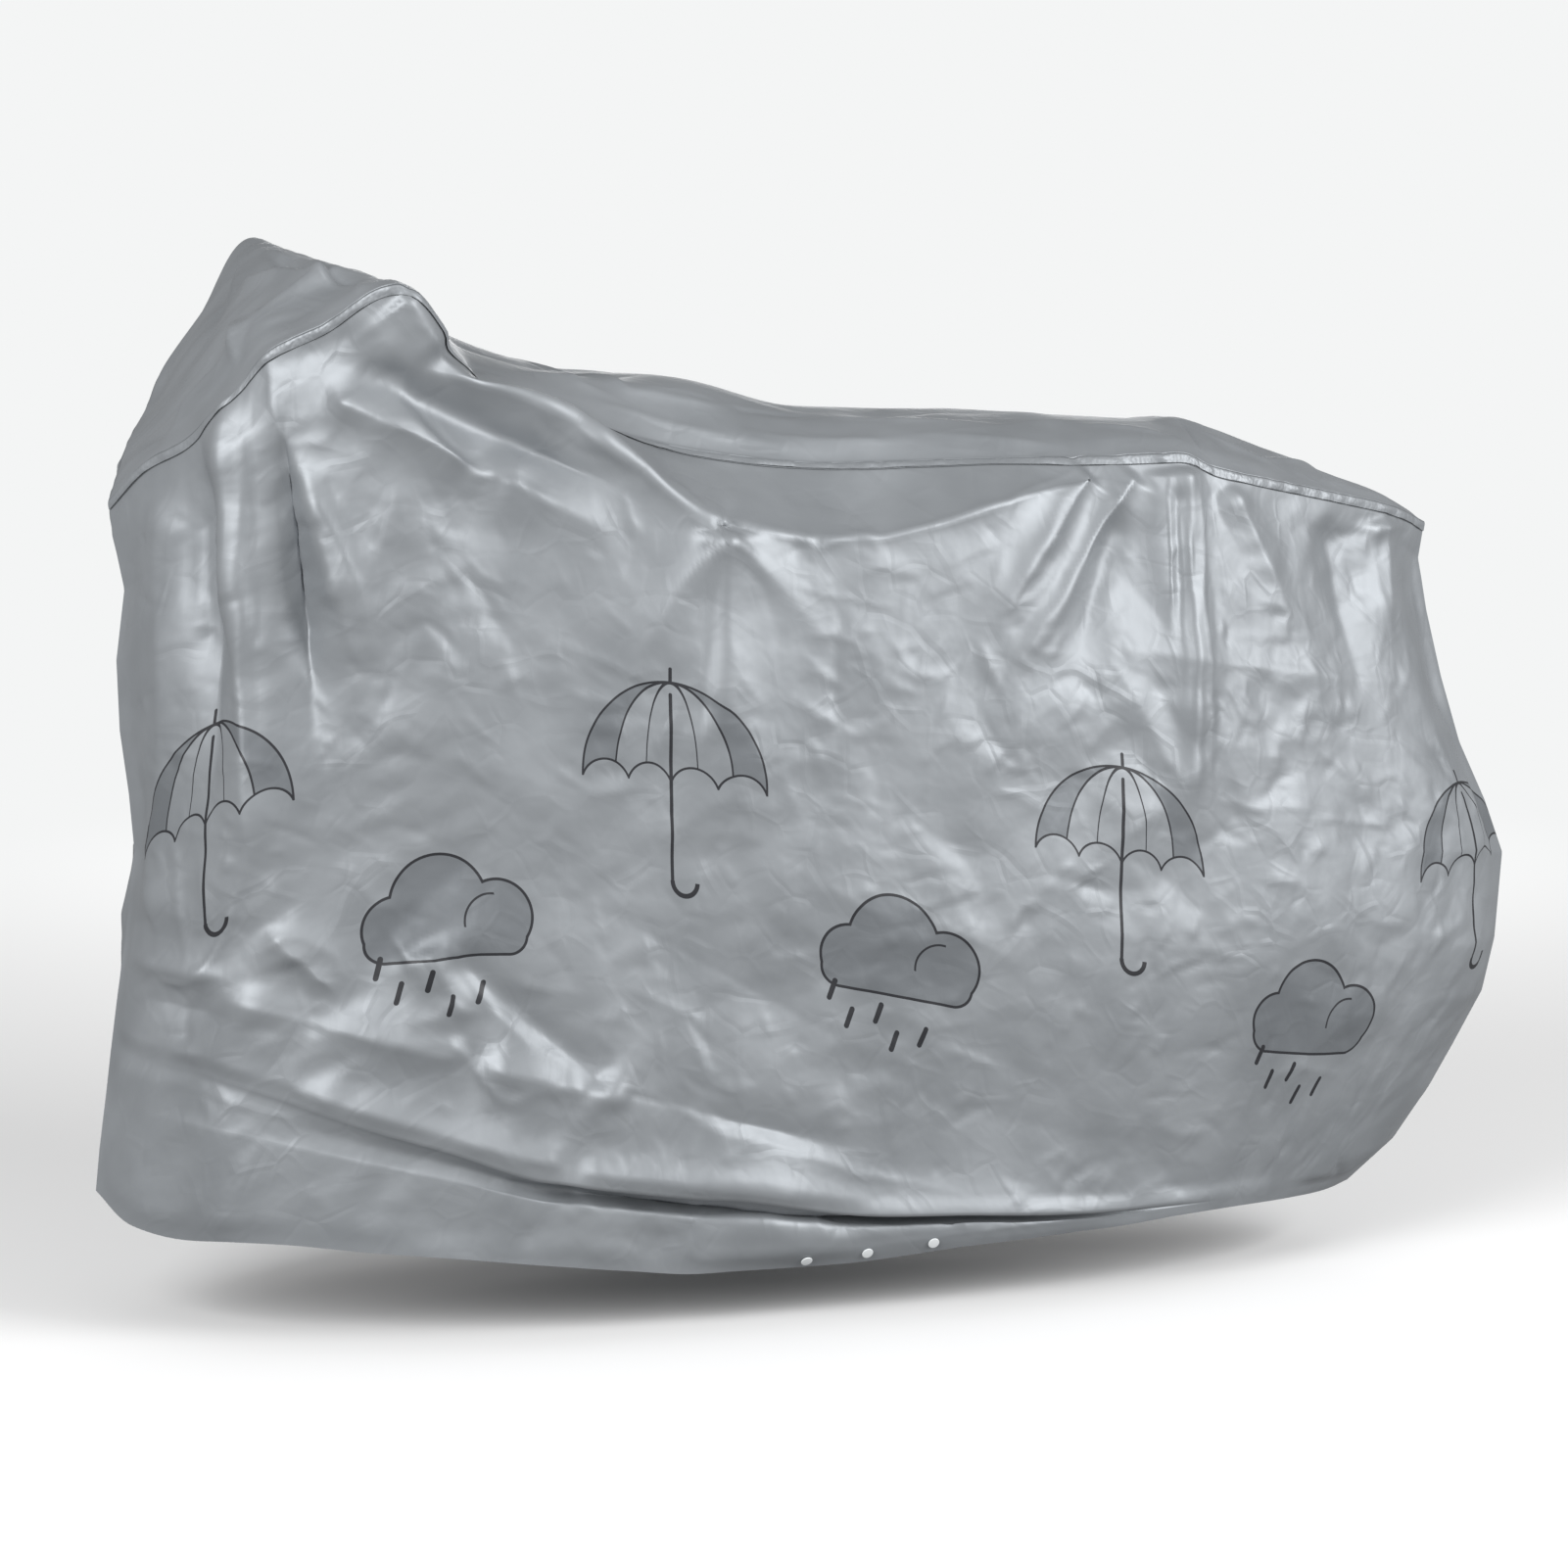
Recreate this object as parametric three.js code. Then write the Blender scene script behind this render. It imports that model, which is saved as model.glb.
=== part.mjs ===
import * as THREE from 'three';

// A fitted rain and dust cover of thin silver-grey plastic film, as it hangs in use.
// Every panel is a thin sheet that follows the hanging shape of the draped film.
// Millimetres, +Z up. The front is towards -X, the near side towards -Y.
// Heights in the tables are above the ground; the finished group is then moved so
// that its origin is the point under the top panel where the cover is held up.

// Driving dimensions
const sheetThickness = 1.6;
const weldGap = 0.3;
const nearRowsAboveLip = 22;
const farRowsAboveHem = 12;
const topRows = 8;
const shelfAt = 0.09;
const farShelfLift = 0.6;
const crownPower = 2.4;
const topFoldMargin = 0.3;
const holdStation = 12;

// Press-snap heads
const snapDiameter = 12.5;
const snapHeight = 2.2;
const snapFlatDiameter = 7.5;
const snapSides = 20;
const snapSeatGap = 0.45;
const snapBackChamfer = 0.4;
const snapRimHeight = 0.5;
const snapShoulderHeight = 1.2;
const snapCrownDrop = 0.3;
const snapPlaces = [
  { name: 'snap_front', x: -37, aboveHem: 11 },
  { name: 'snap_middle', x: 33, aboveHem: 12 },
  { name: 'snap_rear', x: 108, aboveHem: 13 },
];

// Turns rows of numbers into rows with named columns.
function table(columns, rows) {
  return rows.map((row) => Object.fromEntries(columns.map((name, i) => [name, row[i]])));
}

// One row for each cross-section, from the front corner to the rear corner.
// seam is the top edge of a side panel, shelf the crease just below it, waist its
// middle and hem its lower edge; y values are distances out from the middle plane.
// The far seam lies farForward nearer the front than the near one, at farSeamZ.
// crown is how far the top panel rises above its two seams. lipRise is the height of
// the bottom fold above the hem, tuckDepth how far the film goes in under that fold,
// and tuckShare the part of lipRise that the hollow under it takes.
// steps is the number of grid columns up to the next section.
const sections = table(
  ['seamX', 'seamY', 'seamZ', 'farForward', 'farSeamZ', 'crown', 'shelfY', 'shelfZ', 'waistY',
    'hemX', 'hemY', 'hemZ', 'lipRise', 'tuckDepth', 'tuckShare', 'steps'],
  [
    [-741, 0, 888, 0, 888, 0, 0, 830, 0, -769, 0, 146, 160, 0, 0.30, 3],
    [-709, 60, 932, 12, 918, 7, 64, 855, 66, -740, 52, 118, 180, 0, 0.30, 3],
    [-677, 120, 957, 26, 944, 12, 124, 880, 120, -693, 100, 109, 185, 3, 0.30, 4],
    [-636, 178, 1004, 38, 980, 20, 180, 925, 165, -647, 140, 112, 172, 4, 0.30, 4],
    [-608, 215, 1047, 44, 1018, 30, 216, 955, 190, -593, 160, 110, 158, 5, 0.30, 4],
    [-555, 250, 1077, 48, 1078, 42, 250, 990, 214, -505, 190, 102, 136, 7, 0.28, 4],
    [-486, 290, 1117, 50, 1162, -3, 286, 1030, 235, -415, 210, 94, 116, 9, 0.26, 4],
    [-371, 190, 996, 36, 1050, 46, 244, 1010, 246, -324, 226, 84, 94, 16, 0.24, 4],
    [-274, 160, 972, 16, 1000, 46, 242, 966, 250, -239, 230, 73, 90, 30, 0.24, 4],
    [-137, 150, 938, 4, 952, 74, 242, 868, 250, -137, 230, 62, 87, 38, 0.28, 4],
    [11, 150, 923, 0, 930, 54, 242, 848, 248, 2, 222, 60, 62, 34, 0.24, 4],
    [173, 160, 926, 0, 928, 49, 226, 880, 240, 158, 214, 70, 40, 20, 0.22, 4],
    [295, 170, 928, 0, 930, 38, 184, 905, 226, 293, 190, 74, 24, 8, 0.22, 4],
    [395, 170, 930, 0, 928, 31, 180, 870, 208, 407, 162, 81, 14, 1, 0.22, 2],
    [442, 165, 914, 0, 914, 44, 172, 850, 198, 474, 142, 82, 12, 0, 0.22, 4],
    [564, 120, 889, 0, 889, 25, 128, 820, 150, 561, 102, 79, 12, 0, 0.22, 4],
    [704, 50, 860, 0, 860, 6, 56, 800, 86, 630, 54, 75, 12, 0, 0.22, 3],
    [765, 0, 838, 0, 838, 0, 0, 775, 0, 682, 0, 73, 12, 0, 0.22, 0],
  ],
);
const lastSection = sections.length - 1;

// How far the two end welds stand out from the straight line between seam and hem,
// at each share of the way down.
const endProfile = table(
  ['down', 'front', 'rear'],
  [
    [0.00, 0, 0],
    [0.06, 4, -2],
    [0.14, 18, 16],
    [0.24, 11, 44],
    [0.34, 16, 77],
    [0.43, 27, 118],
    [0.51, 34, 148],
    [0.64, 26, 151],
    [0.72, 19, 143],
    [0.80, 13, 114],
    [0.86, 9, 91],
    [0.94, 3, 52],
    [1.00, 0, 0],
  ],
);
const frontReach = 3;
const rearReach = 4;

// Main folds: a soft ridge (rise above 0) or trough (rise below 0) along a straight
// run from x0, z0 to x1, z1. width is half the fold's breadth. It dies out at its ends
// over the shares fade0 and fade1 of its length.
const foldColumns = ['x0', 'z0', 'x1', 'z1', 'width', 'rise', 'fade0', 'fade1'];
const nearFolds = table(foldColumns, [
  [-640, 1010, -632, 700, 20, 30, 0.02, 0.2],
  [-632, 720, -622, 430, 24, 20, 0.1, 0.4],
  [-664, 960, -655, 560, 22, -30, 0.05, 0.4],
  [-608, 985, -580, 640, 26, -28, 0.15, 0.4],
  [-590, 960, -510, 700, 24, 14, 0.2, 0.5],
  [-560, 1010, -370, 915, 20, 14, 0.15, 0.3],
  [-388, 925, -240, 850, 20, 10, 0.2, 0.5],
  [-545, 1042, -223, 892, 18, -16, 0.1, 0.35],
  [-486, 1105, -433, 1043, 22, 12, 0.1, 0.3],
  [-433, 1043, -293, 975, 18, 8, 0.2, 0.3],
  [-293, 975, -138, 868, 16, 10, 0.2, 0.05],
  [-135, 860, -141, 560, 24, 12, 0.03, 0.6],
  [-138, 862, -250, 700, 22, 9, 0.03, 0.6],
  [-135, 858, -20, 740, 24, 8, 0.03, 0.7],
  [290, 915, 164, 760, 20, 14, 0.05, 0.5],
  [345, 915, 176, 680, 20, 14, 0.05, 0.5],
  [330, 880, 260, 700, 18, -10, 0.2, 0.5],
  [378, 915, 380, 700, 13, 12, 0.05, 0.5],
  [402, 915, 405, 420, 14, 14, 0.02, 0.6],
  [390, 900, 392, 660, 10, -8, 0.1, 0.5],
  [455, 895, 560, 700, 24, 12, 0.1, 0.6],
  [600, 870, 640, 640, 28, -12, 0.2, 0.5],
  [690, 850, 690, 700, 24, 12, 0.1, 0.5],
  [780, 640, 835, 440, 24, 12, 0.2, 0.3],
  [-697, 905, -702, 430, 16, 12, 0.1, 0.1],
  [-672, 900, -670, 700, 14, -10, 0.2, 0.3],
  [-725, 404, -655, 396, 18, 16, 0.2, 0.2],
  [-720, 360, -640, 352, 22, -12, 0.2, 0.3],
  [-614, 455, -528, 369, 24, 14, 0.2, 0.3],
  [-590, 420, -560, 330, 20, -10, 0.2, 0.3],
  [-455, 438, -404, 342, 24, 14, 0.2, 0.3],
  [-671, 380, -404, 306, 26, 12, 0.2, 0.1],
  [-404, 306, -60, 215, 26, 12, 0.1, 0.4],
  [-435, 430, -257, 272, 24, -14, 0.2, 0.1],
  [-257, 272, 40, 184, 22, -12, 0.1, 0.4],
  [-600, 285, -300, 190, 20, 10, 0.2, 0.1],
  [-300, 190, -20, 140, 20, 9, 0.1, 0.2],
  [260, 735, 640, 665, 20, 6, 0.3, 0.3],
]);
const farFolds = table(foldColumns, [
  [-640, 950, -625, 420, 30, 20, 0.1, 0.4],
  [-590, 940, -560, 480, 34, -20, 0.2, 0.4],
  [-486, 1120, -330, 700, 34, 16, 0.05, 0.5],
  [-486, 1120, -440, 560, 30, 14, 0.05, 0.5],
  [-486, 1120, -230, 900, 28, 14, 0.05, 0.5],
  [-400, 900, -330, 430, 40, -14, 0.3, 0.4],
  [-137, 870, -150, 430, 36, 14, 0.1, 0.6],
  [20, 820, 10, 420, 46, -12, 0.2, 0.4],
  [295, 900, 170, 640, 28, 14, 0.05, 0.5],
  [395, 900, 400, 480, 26, 14, 0.05, 0.6],
  [470, 880, 560, 620, 34, -12, 0.2, 0.5],
  [690, 840, 680, 640, 26, 12, 0.1, 0.5],
  [-600, 330, -150, 240, 36, 14, 0.3, 0.3],
  [100, 350, 480, 300, 40, 12, 0.3, 0.3],
]);

// Folds of the top panel, from x0, y0 to x1, y1, with y from the near seam to the far.
const topFoldColumns = ['x0', 'y0', 'x1', 'y1', 'width', 'rise', 'fade0', 'fade1'];
const topFolds = table(topFoldColumns, [
  [-520, -200, -560, 230, 22, 12, 0.1, 0.2],
  [-420, -60, -150, -30, 26, -8, 0.2, 0.3],
  [-430, 120, -120, 40, 24, 9, 0.2, 0.4],
  [-330, -90, -60, -95, 20, 7, 0.2, 0.3],
  [30, -60, 270, -50, 30, -7, 0.3, 0.3],
  [60, 70, 330, 60, 30, -7, 0.3, 0.3],
  [400, -90, 640, -10, 26, 6, 0.2, 0.3],
  [400, 90, 640, 10, 26, 6, 0.2, 0.3],
]);

function clamp(value, low, high) {
  return Math.min(high, Math.max(low, value));
}

function smoothstep(value) {
  const t = clamp(value, 0, 1);
  return t * t * (3 - 2 * t);
}

// Slope at one row of a list, zero where the values turn, so a curve never overshoots.
function slopeAt(values, i) {
  if (i === 0) return values[1] - values[0];
  if (i === values.length - 1) return values[i] - values[i - 1];
  const before = values[i] - values[i - 1];
  const after = values[i + 1] - values[i];
  if (before * after <= 0) return 0;
  return (2 * before * after) / (before + after);
}

// Smooth value of one column of the section table at a place between sections.
const columnValues = {};
function sectionValue(column, place) {
  columnValues[column] ??= sections.map((row) => row[column]);
  const values = columnValues[column];
  const i = clamp(Math.floor(place), 0, lastSection - 1);
  const t = place - i;
  const a = values[i];
  const b = values[i + 1];
  const p = slopeAt(values, i);
  const q = slopeAt(values, i + 1);
  const t2 = t * t;
  const t3 = t2 * t;
  return a * (2 * t3 - 3 * t2 + 1) + p * (t3 - 2 * t2 + t) + b * (3 * t2 - 2 * t3) + q * (t3 - t2);
}

// Value of the end profile, straight between its rows.
function endValue(column, down) {
  const above = endProfile.findLastIndex((row) => row.down <= down);
  const i = clamp(above, 0, endProfile.length - 2);
  const a = endProfile[i];
  const b = endProfile[i + 1];
  const t = clamp((down - a.down) / (b.down - a.down), 0, 1);
  return a[column] + (b[column] - a[column]) * t;
}

// Height that one fold table adds at a place given by two coordinates.
function foldRise(folds, p, q, pName, qName) {
  let rise = 0;
  for (const fold of folds) {
    const p0 = fold[`${pName}0`];
    const q0 = fold[`${qName}0`];
    const runP = fold[`${pName}1`] - p0;
    const runQ = fold[`${qName}1`] - q0;
    const along = ((p - p0) * runP + (q - q0) * runQ) / (runP * runP + runQ * runQ);
    if (along <= 0 || along >= 1) continue;
    const across = Math.hypot(p - p0 - along * runP, q - q0 - along * runQ) / fold.width;
    const ends = smoothstep(along / fold.fade0) * smoothstep((1 - along) / fold.fade1);
    rise += (fold.rise * ends) / (1 + across * across * across * across);
  }
  return rise;
}

// Step between sections over which a side panel's outward direction is taken.
const placeStep = 0.02;

// Point of a side panel without its folds. side is -1 for the near one, 1 for the far.
function sideBase(place, down, side) {
  const v = (column) => sectionValue(column, place);
  const seamZ = side < 0 ? v('seamZ') : v('farSeamZ');
  const shelfZ = v('shelfZ') + (seamZ - v('seamZ')) * farShelfLift;
  const front = endValue('front', down) * smoothstep(1 - place / frontReach);
  const rear = endValue('rear', down) * smoothstep(1 - (lastSection - place) / rearReach);
  const forward = side < 0 ? 0 : v('farForward') * (1 - down);
  const x = v('seamX') + (v('hemX') - v('seamX')) * down + front + rear - forward;
  let y;
  let z;
  if (down < shelfAt) {
    const t = down / shelfAt;
    y = v('seamY') + (v('shelfY') - v('seamY')) * t;
    z = seamZ + (shelfZ - seamZ) * t;
  } else {
    const t = (down - shelfAt) / (1 - shelfAt);
    const sag = 4 * (v('waistY') - (v('shelfY') + v('hemY')) / 2);
    y = v('shelfY') + (v('hemY') - v('shelfY')) * t + sag * t * (1 - t);
    z = shelfZ + (v('hemZ') - shelfZ) * t;
  }
  return new THREE.Vector3(x, side * y, z);
}

// Outward direction of a side panel without its folds, kept level.
function sideOut(place, down, side) {
  const ahead = sideBase(Math.min(lastSection, place + placeStep), down, side);
  const behind = sideBase(Math.max(0, place - placeStep), down, side);
  const out = new THREE.Vector3(ahead.y - behind.y, behind.x - ahead.x, 0);
  return out.multiplyScalar(-side).normalize();
}

// Share of the way down at which the bottom fold's lip lies.
function lipDown(place) {
  const v = (column) => sectionValue(column, place);
  return 1 - (v('lipRise') / (v('shelfZ') - v('hemZ'))) * (1 - shelfAt);
}

// Rows of the bottom fold, from the lip down to the hem. tuckShares counts the row's
// distance below the lip in tuckShare, and rest in what lipRise leaves below that.
// inwards is the part of tuckDepth by which the film lies further in.
const tuckRows = table(
  ['tuckShares', 'rest', 'inwards'],
  [
    [0.00, 0, 0.00],
    [0.16, 0, 0.45],
    [0.50, 0, 1.00],
    [1.00, 0, 0.45],
    [1.00, 0.3, 0.30],
    [1.00, 0.65, 0.30],
    [1.00, 1, 0.36],
  ],
);
const lipRoll = 7;
const lipRollBreadth = 32;
const lipRollTuck = 20;
const endFade = 0.8;

// Point of a side panel: the base, its folds, and on the near side the bottom fold.
function sidePoint(place, down, inwards, side) {
  const point = sideBase(place, down, side);
  const folds = side < 0 ? nearFolds : farFolds;
  const calm = smoothstep(place / endFade) * smoothstep((lastSection - place) / endFade);
  let rise = foldRise(folds, point.x, point.z, 'x', 'z') * calm;
  if (side < 0) {
    const lipZ = sectionValue('hemZ', place) + sectionValue('lipRise', place);
    const depth = sectionValue('tuckDepth', place);
    const away = (point.z - lipZ) / lipRollBreadth;
    const roll = lipRoll * smoothstep(depth / lipRollTuck) * Math.exp(-away * away);
    rise += roll * (1 - inwards) - depth * inwards;
  }
  return point.addScaledVector(sideOut(place, down, side), rise);
}

// Point of the top panel; across runs from -1 at the near seam to 1 at the far seam.
function topPoint(place, across) {
  const near = sidePoint(place, 0, 0, -1);
  const far = sidePoint(place, 0, 0, 1);
  const point = near.lerp(far, (across + 1) / 2);
  point.z += sectionValue('crown', place) * (1 - Math.abs(across) ** crownPower);
  const calm = smoothstep((1 - Math.abs(across)) / topFoldMargin);
  point.z += foldRise(topFolds, point.x, point.y, 'x', 'y') * calm;
  return point;
}

// Grid columns shared by all three panels.
const columns = [];
sections.forEach((section, i) => {
  for (let k = 0; k < section.steps; k += 1) columns.push(i + k / section.steps);
});
columns.push(lastSection);

// Average face normals of a grid of points, one for each point.
function gridNormals(grid) {
  const normals = grid.map((row) => row.map(() => new THREE.Vector3()));
  for (let i = 0; i + 1 < grid.length; i += 1) {
    for (let j = 0; j + 1 < grid[i].length; j += 1) {
      const diagonal = grid[i + 1][j + 1].clone().sub(grid[i][j]);
      const other = grid[i][j + 1].clone().sub(grid[i + 1][j]);
      const face = diagonal.cross(other).normalize();
      for (const [a, b] of [[i, j], [i + 1, j], [i, j + 1], [i + 1, j + 1]]) {
        normals[a][b].add(face);
      }
    }
  }
  normals.forEach((row) => row.forEach((normal) => normal.normalize()));
  return normals;
}

// Closed sheet between an outer grid of points and an inner one of the same layout.
function sheetGeometry(outer, inner) {
  const keys = new Map();
  const positions = [];
  const index = [];
  const id = (point) => {
    const key = [point.x, point.y, point.z].map((c) => c.toFixed(4)).join(' ');
    if (!keys.has(key)) {
      keys.set(key, keys.size);
      positions.push(point.x, point.y, point.z);
    }
    return keys.get(key);
  };
  const triangle = (a, b, c) => {
    const ids = [id(a), id(b), id(c)];
    if (new Set(ids).size === 3) index.push(...ids);
  };
  const quad = (a, b, c, d, cutAC) => {
    if (cutAC) {
      triangle(a, b, c);
      triangle(a, c, d);
    } else {
      triangle(a, b, d);
      triangle(b, c, d);
    }
  };
  const rows = outer.length - 1;
  const cells = outer[0].length - 1;
  for (let i = 0; i < rows; i += 1) {
    for (let j = 0; j < cells; j += 1) {
      const corners = (grid) => [grid[i][j], grid[i + 1][j], grid[i + 1][j + 1], grid[i][j + 1]];
      const [a, b, c, d] = corners(outer);
      const cutAC = a.distanceTo(c) < b.distanceTo(d);
      quad(a, b, c, d, cutAC);
      const [e, f, g, h] = corners(inner);
      quad(e, h, g, f, cutAC);
    }
  }
  for (let i = 0; i < rows; i += 1) {
    quad(outer[i + 1][0], outer[i][0], inner[i][0], inner[i + 1][0], true);
    quad(outer[i][cells], outer[i + 1][cells], inner[i + 1][cells], inner[i][cells], true);
  }
  for (let j = 0; j < cells; j += 1) {
    quad(outer[0][j], outer[0][j + 1], inner[0][j + 1], inner[0][j], true);
    quad(outer[rows][j + 1], outer[rows][j], inner[rows][j], inner[rows][j + 1], true);
  }
  let volume = 0;
  const corner = (k) => new THREE.Vector3().fromArray(positions, index[k] * 3);
  for (let k = 0; k < index.length; k += 3) {
    volume += corner(k).dot(corner(k + 1).cross(corner(k + 2)));
  }
  if (volume < 0) index.reverse();
  const geometry = new THREE.BufferGeometry();
  geometry.setAttribute('position', new THREE.Float32BufferAttribute(positions, 3));
  geometry.setIndex(index);
  return geometry;
}

// Offsets a grid inwards by the sheet's thickness along the given normals.
function innerGrid(outer, normals) {
  return outer.map((row, i) => row.map((point, j) => (
    point.clone().addScaledVector(normals[i][j], -sheetThickness))));
}

// Rows of a side panel from the seam to the last row above its foot: two down to the
// shelf, then evenly spaced ones.
function evenRows(count, foot) {
  const rows = [0, shelfAt / 2];
  const below = count - rows.length;
  for (let k = 0; k < below; k += 1) rows.push(shelfAt + ((foot - shelfAt) * k) / below);
  return rows.map((down) => ({ down, inwards: 0 }));
}

// The near panel's rows end in the bottom fold, the far panel's in a plain hem.
function nearRows(place) {
  const lip = lipDown(place);
  const share = sectionValue('tuckShare', place);
  const foldRows = tuckRows.map((row) => {
    const below = row.tuckShares * share + row.rest * (1 - share);
    return { down: lip + (1 - lip) * below, inwards: row.inwards };
  });
  return [...evenRows(nearRowsAboveLip, lip), ...foldRows];
}

function farRows() {
  return [...evenRows(farRowsAboveHem, 1), { down: 1, inwards: 0 }];
}

// Outer grid of a side panel, one list of points for each grid column.
function sideGrid(side) {
  return columns.map((place) => {
    const rows = side < 0 ? nearRows(place) : farRows();
    return rows.map((row) => sidePoint(place, row.down, row.inwards, side));
  });
}

function topGrid() {
  return columns.map((place) => {
    const points = [];
    for (let k = 0; k <= topRows; k += 1) points.push(topPoint(place, (2 * k) / topRows - 1));
    return points;
  });
}

// Grid normals, all turned the same way, so that most of them point along outward.
function outwardNormals(grid, outward) {
  const normals = gridNormals(grid);
  const towards = normals.flat().reduce((sum, normal) => sum + normal.dot(outward), 0);
  if (towards < 0) normals.flat().forEach((normal) => normal.negate());
  return normals;
}

// Directions at one seam point: out is shared by both panels, and across points from
// the side panel to the top panel, so that their cut edges face each other squarely.
function seamFrame(side, top, edge, i) {
  const last = columns.length - 1;
  const seam = side.outer;
  const along = seam[Math.min(last, i + 1)][0].clone().sub(seam[Math.max(0, i - 1)][0]);
  const out = side.normals[i][0].clone().add(top.normals[i][edge]);
  if (i === 0 || i === last) {
    along.set(0, 1, 0);
    out.x = (i === 0 ? -1 : 1) * Math.abs(out.x);
  }
  along.normalize();
  out.addScaledVector(along, -out.dot(along)).normalize();
  const across = new THREE.Vector3().crossVectors(along, out).normalize();
  const nextToEdge = edge === 0 ? 1 : edge - 1;
  const upwards = top.outer[clamp(i, 1, last - 1)][nextToEdge].clone().sub(seam[i][1]);
  if (across.dot(upwards) < 0) across.negate();
  return { out, across };
}

// Opens the weld gap along a seam and gives both edges there the same normal.
function partSeam(side, top, edge) {
  const frames = side.outer.map((points, i) => seamFrame(side, top, edge, i));
  frames.forEach((frame, i) => {
    side.outer[i][0].addScaledVector(frame.across, -weldGap / 2);
    side.normals[i][0].copy(frame.out);
    top.outer[i][edge].addScaledVector(frame.across, weldGap / 2);
    top.normals[i][edge].copy(frame.out);
  });
}

// Opens half the weld gap at the front and rear welds of a side panel.
function partEnds(panel, side) {
  for (const i of [0, columns.length - 1]) {
    panel.outer[i].forEach((point, j) => {
      const normal = panel.normals[i][j];
      point.y = (side * weldGap) / 2;
      normal.set((i === 0 ? -1 : 1) * Math.abs(normal.x), 0, normal.z).normalize();
    });
  }
}

// Draws the ends of the top panel together into one point each.
function closeTopEnds(panel) {
  for (const i of [0, columns.length - 1]) {
    panel.outer[i].forEach((point, k) => {
      point.copy(panel.outer[i][0]);
      panel.normals[i][k].copy(panel.normals[i][0]);
    });
  }
}

function sheetMesh(name, panel, colour) {
  const material = new THREE.MeshStandardMaterial({ color: colour, roughness: 0.38, metalness: 0.15 });
  const inner = innerGrid(panel.outer, panel.normals);
  const mesh = new THREE.Mesh(sheetGeometry(panel.outer, inner), material);
  mesh.name = name;
  return mesh;
}

// A snap head: a low dome with a flat top, its flat back towards the film.
function snapMesh(place, panel) {
  const radius = snapDiameter / 2;
  const flat = snapFlatDiameter / 2;
  const profile = [
    [0, 0],
    [radius - snapBackChamfer, 0],
    [radius, snapRimHeight],
    [radius - snapBackChamfer, snapShoulderHeight],
    [(radius + flat) / 2, snapHeight - snapCrownDrop],
    [flat, snapHeight],
    [0, snapHeight],
  ].map(([out, up]) => new THREE.Vector2(out, up));
  const geometry = new THREE.LatheGeometry(profile, snapSides);
  const material = new THREE.MeshStandardMaterial({ color: '#e6e9ea', roughness: 0.35, metalness: 0 });
  const mesh = new THREE.Mesh(geometry, material);
  mesh.name = place.name;
  const seat = seatOnSheet(panel.outer, place.x, place.aboveHem);
  mesh.quaternion.setFromUnitVectors(new THREE.Vector3(0, 1, 0), seat.out);
  mesh.position.copy(seat.point).addScaledVector(seat.out, snapSeatGap);
  return mesh;
}

// Point and outward normal on the hem strip at a given x and height above the hem.
function seatOnSheet(grid, x, aboveHem) {
  const i = grid.findIndex((points) => points.at(-1).x > x) - 1;
  const share = (x - grid[i].at(-1).x) / (grid[i + 1].at(-1).x - grid[i].at(-1).x);
  const hem = grid[i].at(-1).clone().lerp(grid[i + 1].at(-1), share);
  const above = grid[i].at(-2).clone().lerp(grid[i + 1].at(-2), share);
  const up = above.sub(hem).normalize();
  const along = grid[i + 1].at(-1).clone().sub(grid[i].at(-1));
  const out = along.cross(up).normalize();
  if (out.y > 0) out.negate();
  return { point: hem.addScaledVector(up, aboveHem), out };
}

function panelOf(outer, outward) {
  return { outer, normals: outwardNormals(outer, outward) };
}

const near = panelOf(sideGrid(-1), new THREE.Vector3(0, -1, 0));
const far = panelOf(sideGrid(1), new THREE.Vector3(0, 1, 0));
const top = panelOf(topGrid(), new THREE.Vector3(0, 0, 1));
partSeam(near, top, 0);
partSeam(far, top, topRows);
partEnds(near, -1);
partEnds(far, 1);
closeTopEnds(top);

const cover = new THREE.Group();
cover.add(sheetMesh('near_side_panel', near, '#8f959a'));
cover.add(sheetMesh('far_side_panel', far, '#878d92'));
cover.add(sheetMesh('top_panel', top, '#757b80'));
for (const place of snapPlaces) cover.add(snapMesh(place, near));

// The origin lies on the underside of the top panel, over the middle of the hold.
const hold = topPoint(holdStation, 0);
cover.position.set(-hold.x, 0, -(hold.z - sheetThickness));

export default cover;
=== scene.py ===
import math

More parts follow.
